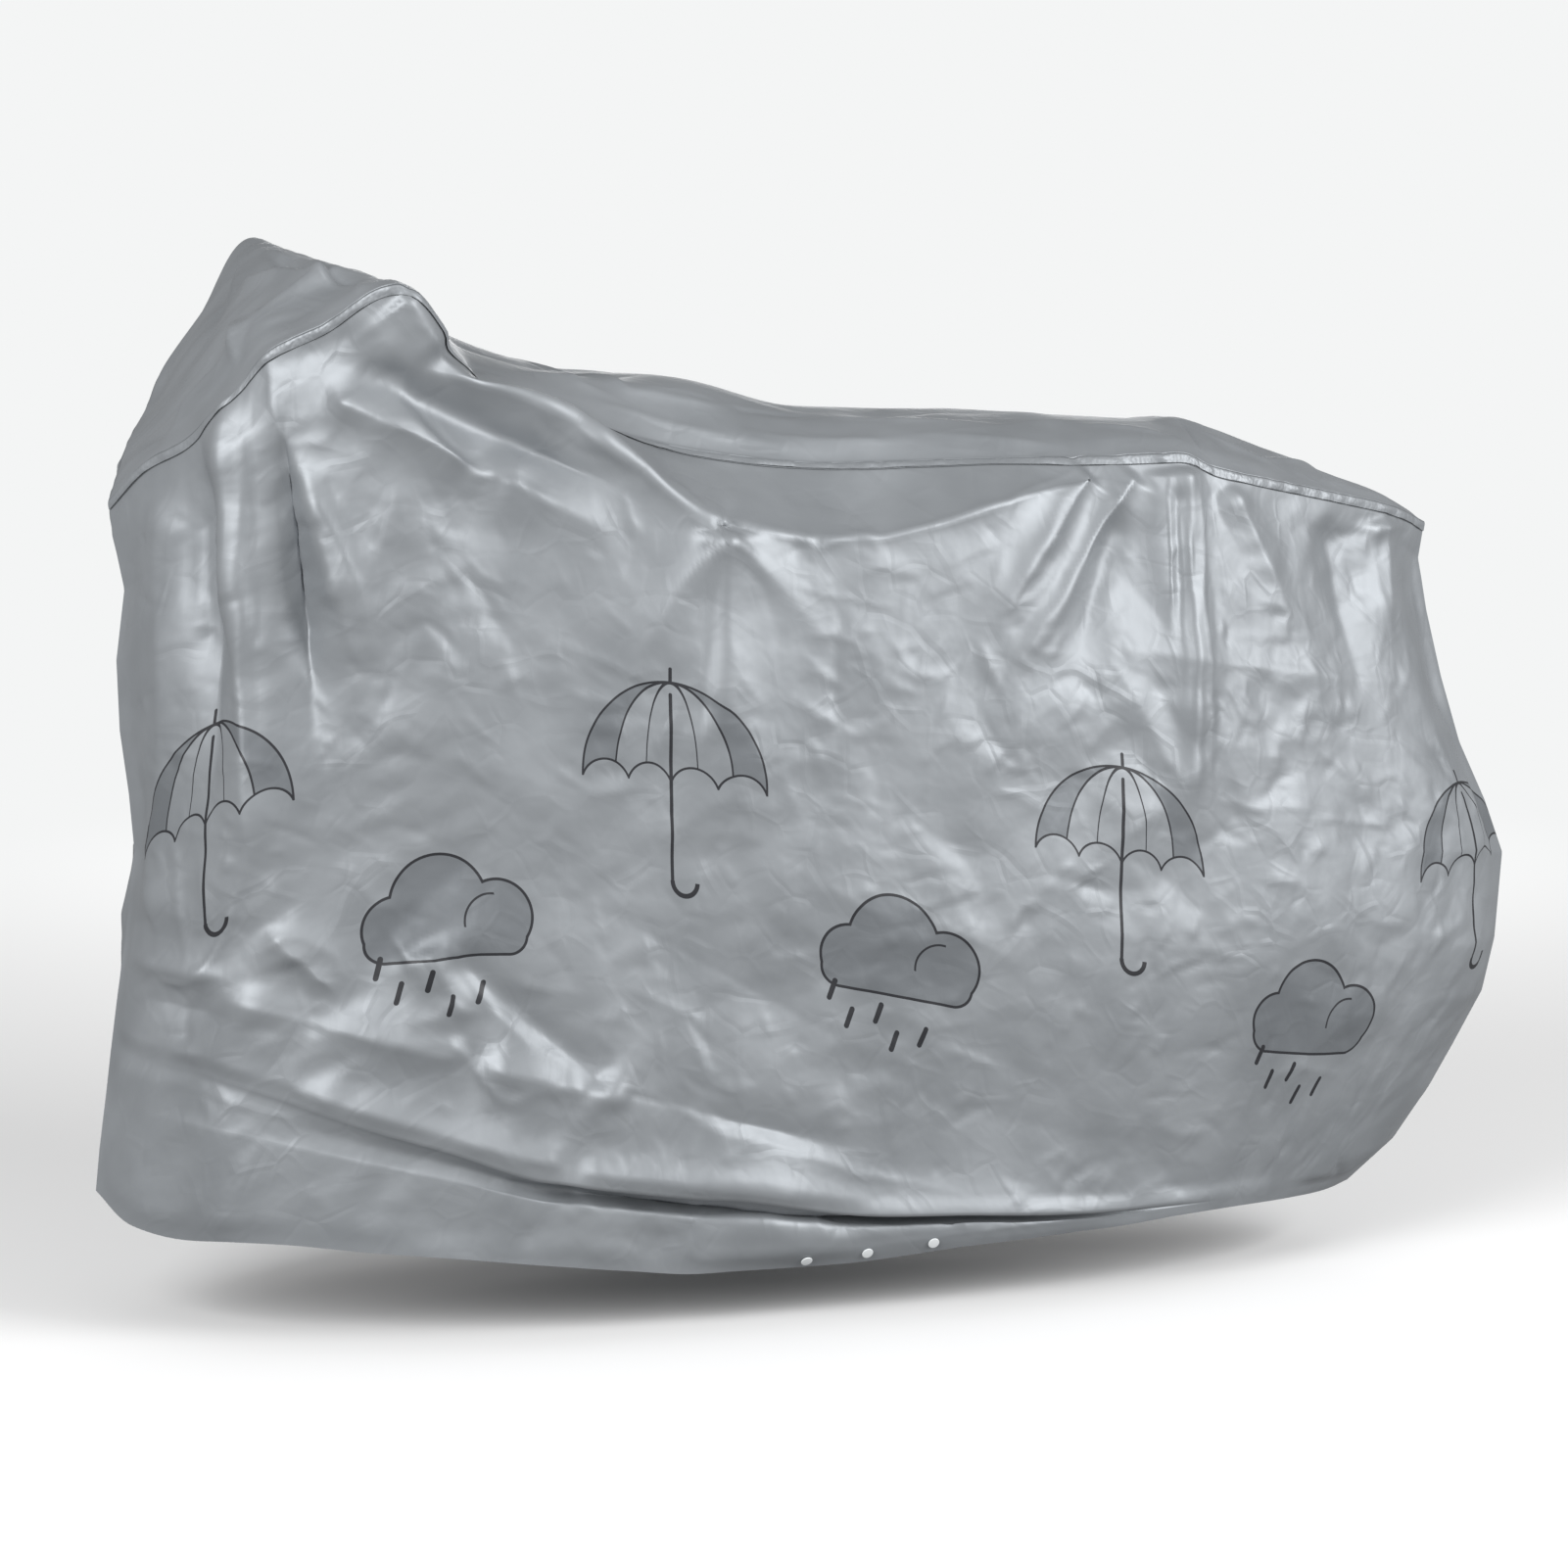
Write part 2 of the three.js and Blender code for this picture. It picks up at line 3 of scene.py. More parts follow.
import bmesh
import bpy
import numpy as np
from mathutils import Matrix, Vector


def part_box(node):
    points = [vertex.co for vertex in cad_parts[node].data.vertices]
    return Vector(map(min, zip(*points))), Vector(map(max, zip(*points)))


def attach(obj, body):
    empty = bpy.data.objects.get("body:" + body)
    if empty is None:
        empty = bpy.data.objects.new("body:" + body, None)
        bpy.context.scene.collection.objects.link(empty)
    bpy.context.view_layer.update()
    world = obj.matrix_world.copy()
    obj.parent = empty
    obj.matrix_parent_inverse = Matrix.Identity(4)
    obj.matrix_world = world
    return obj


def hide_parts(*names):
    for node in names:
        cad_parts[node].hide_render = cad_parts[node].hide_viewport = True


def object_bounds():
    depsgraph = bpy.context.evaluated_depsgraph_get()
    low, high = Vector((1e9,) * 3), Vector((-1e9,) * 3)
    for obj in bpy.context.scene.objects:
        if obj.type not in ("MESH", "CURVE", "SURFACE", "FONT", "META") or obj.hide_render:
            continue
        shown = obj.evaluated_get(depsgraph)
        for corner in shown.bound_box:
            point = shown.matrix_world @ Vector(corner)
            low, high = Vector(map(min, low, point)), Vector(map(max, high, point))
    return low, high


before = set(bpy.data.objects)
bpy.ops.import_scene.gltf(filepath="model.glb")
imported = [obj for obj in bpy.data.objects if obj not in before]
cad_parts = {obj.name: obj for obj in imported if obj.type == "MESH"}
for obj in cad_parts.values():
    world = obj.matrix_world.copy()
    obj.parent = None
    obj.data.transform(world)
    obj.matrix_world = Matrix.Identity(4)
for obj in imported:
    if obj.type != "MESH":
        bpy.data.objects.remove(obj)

cad_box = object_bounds()


# Near side panel.
# One length of silver-grey PEVA film, blown thin and pearl-pigmented, draped from the top
# seam to the hem. It is pulled tight between the hard points under it and soft elsewhere,
# and along the front half its foot is tucked under itself in one long fold.

def table(columns, rows):
    """Rows of numbers as rows with named columns."""
    return [dict(zip(columns, row)) for row in rows]


# Shape of the draped film, as in the part's source. Metres, heights above the ground.
section_columns = (
    "seam_x", "seam_y", "seam_z", "far_forward", "far_seam_z", "crown", "shelf_y", "shelf_z",
    "waist_y", "hem_x", "hem_y", "hem_z", "lip_rise", "tuck_depth", "tuck_share",
)
sections = table(section_columns, [
    (-0.741, 0, 0.888, 0, 0.888, 0, 0, 0.83, 0, -0.769, 0, 0.146, 0.16, 0, 0.30),
    (-0.709, 0.06, 0.932, 0.012, 0.918, 0.007, 0.064, 0.855, 0.066, -0.74, 0.052, 0.118, 0.18, 0, 0.30),
    (-0.677, 0.12, 0.957, 0.026, 0.944, 0.012, 0.124, 0.88, 0.12, -0.693, 0.1, 0.109, 0.185, 0.003, 0.30),
    (-0.636, 0.178, 1.004, 0.038, 0.98, 0.02, 0.18, 0.925, 0.165, -0.647, 0.14, 0.112, 0.172, 0.004, 0.30),
    (-0.608, 0.215, 1.047, 0.044, 1.018, 0.03, 0.216, 0.955, 0.19, -0.593, 0.16, 0.11, 0.158, 0.005, 0.30),
    (-0.555, 0.25, 1.077, 0.048, 1.078, 0.042, 0.25, 0.99, 0.214, -0.505, 0.19, 0.102, 0.136, 0.007, 0.28),
    (-0.486, 0.29, 1.117, 0.05, 1.162, -0.003, 0.286, 1.03, 0.235, -0.415, 0.21, 0.094, 0.116, 0.009, 0.26),
    (-0.371, 0.19, 0.996, 0.036, 1.05, 0.046, 0.244, 1.01, 0.246, -0.324, 0.226, 0.084, 0.094, 0.016, 0.24),
    (-0.274, 0.16, 0.972, 0.016, 1, 0.046, 0.242, 0.966, 0.25, -0.239, 0.23, 0.073, 0.09, 0.03, 0.24),
    (-0.137, 0.15, 0.938, 0.004, 0.952, 0.074, 0.242, 0.868, 0.25, -0.137, 0.23, 0.062, 0.087, 0.038, 0.28),
    (0.011, 0.15, 0.923, 0, 0.93, 0.054, 0.242, 0.848, 0.248, 0.002, 0.222, 0.06, 0.062, 0.034, 0.24),
    (0.173, 0.16, 0.926, 0, 0.928, 0.049, 0.226, 0.88, 0.24, 0.158, 0.214, 0.07, 0.04, 0.02, 0.22),
    (0.295, 0.17, 0.928, 0, 0.93, 0.038, 0.184, 0.905, 0.226, 0.293, 0.19, 0.074, 0.024, 0.008, 0.22),
    (0.395, 0.17, 0.93, 0, 0.928, 0.031, 0.18, 0.87, 0.208, 0.407, 0.162, 0.081, 0.014, 0.001, 0.22),
    (0.442, 0.165, 0.914, 0, 0.914, 0.044, 0.172, 0.85, 0.198, 0.474, 0.142, 0.082, 0.012, 0, 0.22),
    (0.564, 0.12, 0.889, 0, 0.889, 0.025, 0.128, 0.82, 0.15, 0.561, 0.102, 0.079, 0.012, 0, 0.22),
    (0.704, 0.05, 0.86, 0, 0.86, 0.006, 0.056, 0.8, 0.086, 0.63, 0.054, 0.075, 0.012, 0, 0.22),
    (0.765, 0, 0.838, 0, 0.838, 0, 0, 0.775, 0, 0.682, 0, 0.073, 0.012, 0, 0.22),
])
LAST = len(sections) - 1
SHELF_AT = 0.09
FAR_SHELF_LIFT = 0.6
FRONT_REACH, REAR_REACH = 3, 4

end_profile = table(("down", "front", "rear"), [
    (0.00, 0, 0),
    (0.06, 0.004, -0.002),
    (0.14, 0.018, 0.016),
    (0.24, 0.011, 0.044),
    (0.34, 0.016, 0.077),
    (0.43, 0.027, 0.118),
    (0.51, 0.034, 0.148),
    (0.64, 0.026, 0.151),
    (0.72, 0.019, 0.143),
    (0.80, 0.013, 0.114),
    (0.86, 0.009, 0.091),
    (0.94, 0.003, 0.052),
    (1.00, 0, 0),
])


def smoothstep(value):
    t = np.clip(value, 0, 1)
    return t * t * (3 - 2 * t)


def smooth_rows(values, place):
    """Smooth value between the rows of one table column, never past the rows themselves."""
    values = np.asarray(values, float)
    steps = np.diff(values)
    before, after = steps[:-1], steps[1:]
    turns = before * after <= 0
    slopes = np.concatenate([steps[:1], 2 * before * after / np.where(turns, 1, before + after), steps[-1:]])
    slopes[1:-1][turns] = 0
    i = np.clip(np.floor(place).astype(int), 0, len(values) - 2)
    t = place - i
    rise = steps[i] * (3 * t**2 - 2 * t**3)
    return values[i] + rise + slopes[i] * (t**3 - 2 * t**2 + t) + slopes[i + 1] * (t**3 - t**2)


def section_value(column, place):
    return smooth_rows([row[column] for row in sections], place)


def end_value(column, down):
    return np.interp(down, [row["down"] for row in end_profile], [row[column] for row in end_profile])


FOLD_FALL, FOLD_POWER = 0.85, 1.3


def fold_rise(folds, p, q, p_name, q_name):
    """Height that a table of folds adds at the places p, q."""
    rise = np.zeros(np.broadcast(p, q).shape)
    for fold in folds:
        p0, q0 = fold[p_name + "0"], fold[q_name + "0"]
        run_p, run_q = fold[p_name + "1"] - p0, fold[q_name + "1"] - q0
        along = ((p - p0) * run_p + (q - q0) * run_q) / (run_p**2 + run_q**2)
        across = np.hypot(p - p0 - along * run_p, q - q0 - along * run_q) / fold["width"]
        ends = smoothstep(along / fold["fade0"]) * smoothstep((1 - along) / fold["fade1"])
        rise += fold["rise"] * ends * np.exp(-FOLD_FALL * np.abs(across) ** FOLD_POWER)
    return rise


def side_base(place, down, side):
    """Points of a side panel without its folds. side is -1 for the near one, 1 for the far."""
    v = {name: section_value(name, place) for name in section_columns}
    seam_z = v["seam_z"] if side < 0 else v["far_seam_z"]
    shelf_z = v["shelf_z"] + (seam_z - v["seam_z"]) * FAR_SHELF_LIFT
    front = end_value("front", down) * smoothstep(1 - place / FRONT_REACH)
    rear = end_value("rear", down) * smoothstep(1 - (LAST - place) / REAR_REACH)
    forward = 0 if side < 0 else v["far_forward"] * (1 - down)
    x = v["seam_x"] + (v["hem_x"] - v["seam_x"]) * down + front + rear - forward
    above = np.clip(down / SHELF_AT, 0, 1)
    below = np.clip((down - SHELF_AT) / (1 - SHELF_AT), 0, 1)
    sag = 4 * (v["waist_y"] - (v["shelf_y"] + v["hem_y"]) / 2)
    upper_y = v["seam_y"] + (v["shelf_y"] - v["seam_y"]) * above
    lower_y = v["shelf_y"] + (v["hem_y"] - v["shelf_y"]) * below + sag * below * (1 - below)
    upper_z = seam_z + (shelf_z - seam_z) * above
    lower_z = shelf_z + (v["hem_z"] - shelf_z) * below
    is_upper = down < SHELF_AT
    y = np.where(is_upper, upper_y, lower_y)
    z = np.where(is_upper, upper_z, lower_z)
    return np.stack([x, side * y, z], -1)


PLACE_STEP = 0.02


def side_out(place, down, side):
    """Level outward direction of a side panel without its folds."""
    ahead = side_base(np.minimum(LAST, place + PLACE_STEP), down, side)
    behind = side_base(np.maximum(0, place - PLACE_STEP), down, side)
    out = np.stack([ahead[..., 1] - behind[..., 1], behind[..., 0] - ahead[..., 0]], -1) * -side
    out /= np.linalg.norm(out, axis=-1, keepdims=True)
    return np.concatenate([out, np.zeros_like(out[..., :1])], -1)


# Main folds of the near panel, each along a line on its side view.
fold_columns = ("x0", "z0", "x1", "z1", "width", "rise", "fade0", "fade1")
near_folds = table(fold_columns, [
    (-0.64, 1.03, -0.632, 0.66, 0.018, 0.03, 0.28, 0.5),
    (-0.632, 0.86, -0.622, 0.43, 0.024, 0.02, 0.5, 0.4),
    (-0.664, 0.99, -0.655, 0.56, 0.018, -0.026, 0.25, 0.4),
    (-0.600, 1.01, -0.560, 0.62, 0.026, -0.036, 0.30, 0.45),
    (-0.588, 0.97, -0.505, 0.68, 0.020, 0.020, 0.25, 0.5),
    (-0.56, 1.01, -0.37, 0.915, 0.02, 0.014, 0.15, 0.3),
    (-0.388, 0.925, -0.24, 0.85, 0.02, 0.01, 0.2, 0.5),
    (-0.545, 1.042, -0.223, 0.892, 0.018, -0.022, 0.2, 0.35),
    (-0.486, 1.105, -0.433, 1.043, 0.022, 0.012, 0.1, 0.3),
    (-0.433, 1.043, -0.293, 0.975, 0.016, 0.01, 0.2, 0.3),
    (-0.293, 0.975, -0.138, 0.868, 0.016, 0.01, 0.2, 0.05),
    (-0.135, 0.86, -0.141, 0.56, 0.024, 0.012, 0.03, 0.6),
    (-0.138, 0.862, -0.25, 0.7, 0.022, 0.009, 0.03, 0.6),
    (-0.135, 0.858, -0.02, 0.74, 0.024, 0.008, 0.03, 0.7),
    (0.29, 0.915, 0.164, 0.76, 0.02, 0.014, 0.05, 0.5),
    (0.345, 0.915, 0.176, 0.68, 0.02, 0.014, 0.05, 0.5),
    (0.33, 0.88, 0.26, 0.7, 0.018, -0.01, 0.2, 0.5),
    (0.378, 0.915, 0.38, 0.7, 0.013, 0.012, 0.05, 0.5),
    (0.402, 0.915, 0.405, 0.42, 0.014, 0.014, 0.02, 0.6),
    (0.39, 0.9, 0.392, 0.66, 0.01, -0.008, 0.1, 0.5),
    (0.455, 0.895, 0.56, 0.7, 0.024, 0.012, 0.1, 0.6),
    (0.6, 0.87, 0.64, 0.64, 0.028, -0.012, 0.2, 0.5),
    (0.69, 0.85, 0.69, 0.7, 0.024, 0.012, 0.1, 0.5),
    (0.78, 0.64, 0.835, 0.44, 0.024, 0.012, 0.2, 0.3),
    (-0.697, 0.905, -0.702, 0.43, 0.016, 0.012, 0.1, 0.1),
    (-0.672, 0.9, -0.67, 0.7, 0.014, -0.01, 0.2, 0.3),
    (-0.735, 0.404, -0.640, 0.396, 0.012, 0.009, 0.4, 0.4),
    (-0.73, 0.365, -0.63, 0.352, 0.020, -0.008, 0.4, 0.4),
    (-0.614, 0.455, -0.528, 0.369, 0.024, 0.014, 0.2, 0.3),
    (-0.59, 0.42, -0.56, 0.33, 0.02, -0.01, 0.2, 0.3),
    (-0.455, 0.438, -0.404, 0.342, 0.024, 0.014, 0.2, 0.3),
    (-0.671, 0.38, -0.404, 0.306, 0.026, 0.012, 0.2, 0.1),
    (-0.404, 0.306, -0.06, 0.215, 0.026, 0.012, 0.1, 0.4),
    (-0.435, 0.43, -0.257, 0.272, 0.024, -0.014, 0.2, 0.1),
    (-0.257, 0.272, 0.04, 0.184, 0.022, -0.012, 0.1, 0.4),
    (-0.6, 0.285, -0.3, 0.19, 0.02, 0.01, 0.2, 0.1),
    (-0.3, 0.19, -0.02, 0.14, 0.02, 0.009, 0.1, 0.2),
    (0.26, 0.735, 0.64, 0.665, 0.02, 0.006, 0.3, 0.3),
])

# Run of the film into the bottom fold and out again, from its lip to the hem.
tuck_rows = table(("tuck_shares", "rest", "inwards"), [
    (0.00, 0, 0.00),
    (0.16, 0, 0.45),
    (0.50, 0, 1.00),
    (1.00, 0, 0.45),
    (1.00, 0.3, 0.30),
    (1.00, 0.65, 0.30),
    (1.00, 1, 0.36),
])
LIP_ROLL, LIP_ROLL_BREADTH, LIP_ROLL_TUCK = 0.007, 0.032, 0.020
END_FADE = 0.8


def lip_down(place):
    """Share of the way down at which the bottom fold's lip lies."""
    v = {name: section_value(name, place) for name in section_columns}
    return 1 - v["lip_rise"] / (v["shelf_z"] - v["hem_z"]) * (1 - SHELF_AT)


def near_rows(place, upper, lower, tuck):
    """down and inwards for each row of the near panel: seam to shelf, shelf to lip, lip to hem."""
    lip = lip_down(place)
    share = section_value("tuck_share", place)
    in_table = np.linspace(0, len(tuck_rows) - 1, tuck)
    tucked = {name: smooth_rows([row[name] for row in tuck_rows], in_table) for name in tuck_rows[0]}
    below = tucked["tuck_shares"] * share + tucked["rest"] * (1 - share)
    down = np.concatenate([
        SHELF_AT * np.arange(upper) / upper * np.ones_like(lip),
        SHELF_AT + (lip - SHELF_AT) * np.arange(lower) / lower,
        lip + (1 - lip) * below,
    ], -1)
    inwards = np.concatenate([np.zeros(upper + lower), tucked["inwards"]])
    return down, inwards


def side_points(place, down, inwards, side, folds):
    """Points of a side panel with its folds and, on the near side, its bottom fold."""
    points = side_base(place, down, side)
    calm = smoothstep(place / END_FADE) * smoothstep((LAST - place) / END_FADE)
    rise = fold_rise(folds, points[..., 0], points[..., 2], "x", "z") * calm
    if side < 0:
        lip_z = section_value("hem_z", place) + section_value("lip_rise", place)
        depth = section_value("tuck_depth", place)
        away = (points[..., 2] - lip_z) / LIP_ROLL_BREADTH
        roll = LIP_ROLL * smoothstep(depth / LIP_ROLL_TUCK) * np.exp(-away * away)
        rise = rise + roll * (1 - inwards) - depth * inwards
    return points + side_out(place, down, side) * rise[..., None]


FINE_PLACES = 3000


def even_places(count, side):
    """Places of evenly spaced columns, and how far each lies along the panel at half height."""
    fine = np.linspace(0, LAST, FINE_PLACES)
    line = side_base(fine, np.full_like(fine, 0.5), side)
    lengths = np.concatenate([[0], np.cumsum(np.linalg.norm(np.diff(line, axis=0), axis=1))])
    along = np.linspace(0, lengths[-1], count)
    return np.interp(along, lengths, fine), along


def run_lengths(points):
    """Distance of each grid point from the first point of its column, along the column."""
    steps = np.linalg.norm(np.diff(points, axis=1), axis=2)
    return np.concatenate([np.zeros((len(points), 1)), np.cumsum(steps, axis=1)], axis=1)


# Creases of the near panel, laid out on the flat film: distance along it from the front
# weld and down from the top seam. width is half the breadth, rise is outwards. The points
# were read off the photograph, and a separate calculation laid them on the film.
crease_columns = ("name", "width", "rise", "path")
near_creases = table(crease_columns, [
    ("flank_ridge", 0.011, 0.009, (
        (0.247, 0), (0.26, 0.084), (0.316, 0.2), (0.342, 0.277), (0.355, 0.338), (0.368, 0.4))),
    ("front_valley", 0.014, -0.008, ((0.217, 0.004), (0.221, 0.114), (0.225, 0.234), (0.23, 0.387))),
    ("front_band", 0.007, 0.007, ((0.221, 0), (0.212, 0.144), (0.212, 0.296), (0.217, 0.419))),
    ("left_valley", 0.012, -0.004, ((0.126, 0.021), (0.117, 0.109), (0.126, 0.191))),
    ("flank_crease", 0.008, 0.003, ((0.26, 0.084), (0.273, 0.104), (0.316, 0.118), (0.334, 0.108))),
    ("flap_corner", 0.008, 0.004, ((0.251, 0), (0.247, 0), (0.243, 0))),
    ("long_trough", 0.018, -0.006, (
        (0.286, 0.012), (0.334, 0.047), (0.368, 0.091), (0.438, 0.11), (0.507, 0.115), (0.585, 0.149))),
    ("long_ridge", 0.012, 0.005, (
        (0.316, 0.056), (0.36, 0.101), (0.394, 0.136), (0.442, 0.135), (0.533, 0.14))),
    ("thin_line", 0.004, 0.0016, ((0.403, 0.166), (0.464, 0.126), (0.524, 0.16), (0.581, 0.178))),
    ("peak_ridge", 0.01, 0.005, (
        (0.407, 0.004), (0.42, 0.037), (0.451, 0.034), (0.49, 0.042), (0.563, 0.077), (0.633, 0.101),
        (0.702, 0.108))),
    ("peak_recess", 0.009, -0.004, ((0.438, 0.035), (0.472, 0.015), (0.503, 0.051))),
    ("nick_1", 0.007, 0.0025, ((0.39, 0.199), (0.39, 0.222), (0.399, 0.249))),
    ("nick_2", 0.006, 0.002, ((0.407, 0.249), (0.433, 0.236), (0.468, 0.196))),
    ("nick_3", 0.007, 0.0025, ((0.438, 0.258), (0.451, 0.258), (0.468, 0.249))),
    ("nick_4", 0.006, 0.002, ((0.498, 0.253), (0.511, 0.253), (0.529, 0.263))),
    ("nick_5", 0.007, 0.0025, ((0.377, 0.297), (0.399, 0.316), (0.425, 0.312))),
    ("nick_6", 0.008, 0.003, ((0.36, 0.249), (0.373, 0.274), (0.381, 0.302))),
    ("nick_7", 0.008, -0.003, ((0.407, 0.351), (0.433, 0.342), (0.446, 0.342))),
    ("nick_8", 0.007, 0.0025, ((0.459, 0.299), (0.481, 0.273), (0.503, 0.286))),
    ("nick_9", 0.006, 0.0025, ((0.546, 0.219), (0.559, 0.245), (0.568, 0.268))),
    ("nick_10", 0.006, 0.0022, ((0.585, 0.212), (0.602, 0.224), (0.607, 0.243))),
    ("nick_11", 0.008, 0.003, ((0.403, 0.41), (0.429, 0.388), (0.446, 0.342))),
    ("nick_12", 0.007, 0.0025, ((0.477, 0.355), (0.507, 0.349), (0.533, 0.363))),
    ("hub_up_1", 0.007, -0.004, ((0.693, 0.005), (0.698, 0.072), (0.737, 0.115))),
    ("hub_up_2", 0.009, 0.004, ((0.563, 0.074), (0.628, 0.097), (0.702, 0.083), (0.741, 0.116))),
    ("hub_right", 0.006, 0.005, (
        (0.741, 0.116), (0.793, 0.118), (0.815, 0.121), (0.849, 0.125), (0.884, 0.113),
        (0.915, 0.12), (0.967, 0.108), (1.058, 0.077), (1.153, 0.014))),
    ("hub_left", 0.006, 0.0035, ((0.741, 0.116), (0.711, 0.147))),
    ("hub_down", 0.012, -0.006, ((0.737, 0.125), (0.728, 0.206), (0.719, 0.287), (0.711, 0.353))),
    ("hub_down_right", 0.014, -0.004, ((0.741, 0.125), (0.75, 0.145), (0.78, 0.173), (0.802, 0.225))),
    ("crescent_1", 0.008, 0.003, ((0.741, 0.237), (0.75, 0.273), (0.776, 0.293))),
    ("swag_tooth_1", 0.005, 0.003, ((0.832, 0.108), (0.832, 0.125), (0.845, 0.145))),
    ("swag_tooth_2", 0.006, 0.003, ((0.884, 0.113), (0.897, 0.118), (0.915, 0.14))),
    ("pack_rect_1", 0.003, 0.0014, ((0.797, 0.167), (0.867, 0.178), (0.941, 0.195))),
    ("pack_rect_2", 0.003, 0.0014, ((0.941, 0.158), (0.936, 0.196), (0.932, 0.237))),
    ("corner_fold_1", 0.009, 0.006, (
        (1.17, 0.015), (1.123, 0.069), (1.084, 0.125), (1.062, 0.177), (1.049, 0.21))),
    ("corner_fold_2", 0.008, 0.007, (
        (1.235, 0.015), (1.196, 0.058), (1.162, 0.099), (1.131, 0.146), (1.101, 0.196),
        (1.075, 0.236), (1.053, 0.279))),
    ("corner_v_left", 0.008, 0.005, ((1.023, 0.227), (1.036, 0.255), (1.049, 0.276))),
    ("corner_fold_3", 0.008, 0.004, ((1.036, 0.206), (1.084, 0.172), (1.11, 0.138), (1.127, 0.115))),
    ("corner_diamond_1", 0.008, 0.004, ((1.053, 0.12), (1.045, 0.155), (1.027, 0.187))),
    ("corner_diamond_2", 0.008, 0.0035, ((1.053, 0.12), (1.023, 0.129), (0.975, 0.153))),
    ("corner_diamond_3", 0.007, -0.003, ((1.023, 0.167), (0.98, 0.183), (0.954, 0.209))),
    ("under_swag_1", 0.009, 0.0035, ((0.867, 0.158), (0.897, 0.148), (0.941, 0.155), (0.967, 0.169))),
    ("under_swag_2", 0.007, 0.003, ((0.915, 0.22), (0.945, 0.262), (0.975, 0.269), (1.006, 0.252))),
    ("under_swag_3", 0.006, 0.0025, ((0.906, 0.26), (0.928, 0.278), (0.958, 0.286))),
    ("under_swag_4", 0.009, 0.0035, ((0.819, 0.223), (0.858, 0.217), (0.888, 0.234))),
    ("under_swag_5", 0.008, 0.003, ((0.828, 0.243), (0.845, 0.263), (0.871, 0.277))),
    ("crumple_1", 0.005, 0.0026, ((1.053, 0.345), (1.062, 0.357), (1.088, 0.359))),
    ("crumple_2", 0.005, 0.0026, ((1.071, 0.333), (1.079, 0.355), (1.097, 0.37))),
    ("crumple_3", 0.005, 0.0024, ((1.097, 0.327), (1.097, 0.349), (1.11, 0.358))),
    ("crumple_4", 0.006, -0.0024, ((1.118, 0.351), (1.157, 0.358), (1.175, 0.352))),
    ("crumple_5", 0.008, 0.003, ((1.114, 0.306), (1.14, 0.281), (1.157, 0.251))),
    ("crumple_6", 0.006, 0.0024, ((1.196, 0.188), (1.209, 0.205), (1.214, 0.231))),
    ("crumple_7", 0.007, -0.0026, ((1.14, 0.241), (1.153, 0.26), (1.175, 0.264))),
    ("bulge_edge", 0.01, 0.005, (
        (0.533, 0.442), (0.559, 0.458), (0.585, 0.466), (0.615, 0.451), (0.654, 0.391),
        (0.685, 0.337), (0.702, 0.302))),
    ("bulge_top", 0.008, 0.0035, (
        (0.542, 0.32), (0.589, 0.326), (0.637, 0.324), (0.663, 0.314), (0.689, 0.31))),
    ("bulge_in_1", 0.007, 0.003, ((0.628, 0.334), (0.646, 0.31), (0.68, 0.292))),
    ("bulge_in_2", 0.008, 0.003, ((0.581, 0.396), (0.624, 0.389), (0.663, 0.356))),
    ("bulge_in_3", 0.007, 0.0026, ((0.55, 0.363), (0.581, 0.37), (0.624, 0.363))),
    ("chev_1", 0.007, 0.0026, ((0.815, 0.291), (0.841, 0.302), (0.867, 0.319))),
    ("chev_2", 0.006, 0.0024, ((0.867, 0.313), (0.88, 0.327), (0.901, 0.33))),
    ("chev_3", 0.007, 0.0026, ((0.819, 0.33), (0.841, 0.344), (0.849, 0.374))),
    ("chev_4", 0.008, 0.0026, ((0.741, 0.358), (0.758, 0.387), (0.771, 0.423))),
    ("chev_5", 0.008, -0.0026, ((0.901, 0.343), (0.91, 0.386), (0.901, 0.426))),
    ("pleat_1", 0.01, 0.005, ((1.283, 0.014), (1.283, 0.06), (1.283, 0.124), (1.283, 0.202))),
    ("pleat_2", 0.009, -0.005, ((1.292, 0.017), (1.292, 0.073), (1.296, 0.145), (1.287, 0.232))),
    ("pleat_3", 0.008, 0.005, (
        (1.318, 0.012), (1.313, 0.097), (1.313, 0.181), (1.313, 0.266), (1.313, 0.346))),
    ("pack_level", 0.004, 0.002, (
        (1.309, 0.224), (1.417, 0.215), (1.552, 0.214), (1.634, 0.212), (1.742, 0.21))),
    ("pack_level_2", 0.004, 0.0016, ((1.326, 0.191), (1.435, 0.181), (1.547, 0.167))),
    ("pack_upright", 0.003, 0.0015, ((1.309, 0.29), (1.313, 0.356), (1.309, 0.465))),
    ("rear_facet_1", 0.007, 0.005, ((1.695, 0), (1.66, 0.031), (1.656, 0.06))),
    ("rear_facet_2", 0.01, 0.004, ((1.656, 0.06), (1.651, 0.103), (1.664, 0.156))),
    ("rear_facet_3", 0.01, -0.004, ((1.612, 0.066), (1.617, 0.092), (1.625, 0.125))),
    ("rear_facet_4", 0.012, 0.004, ((1.526, 0.047), (1.569, 0.075), (1.582, 0.121))),
    ("star_1", 0.005, 0.0024, ((1.296, 0.272), (1.335, 0.268), (1.352, 0.287))),
    ("star_2", 0.005, 0.0024, ((1.335, 0.24), (1.352, 0.253), (1.374, 0.28))),
    ("star_3", 0.005, 0.0022, ((1.378, 0.228), (1.374, 0.252), (1.391, 0.266))),
    ("star_4", 0.005, -0.0022, ((1.322, 0.248), (1.331, 0.268), (1.326, 0.293))),
    ("rear_soft_1", 0.012, 0.0035, ((1.439, 0.123), (1.469, 0.148), (1.461, 0.182))),
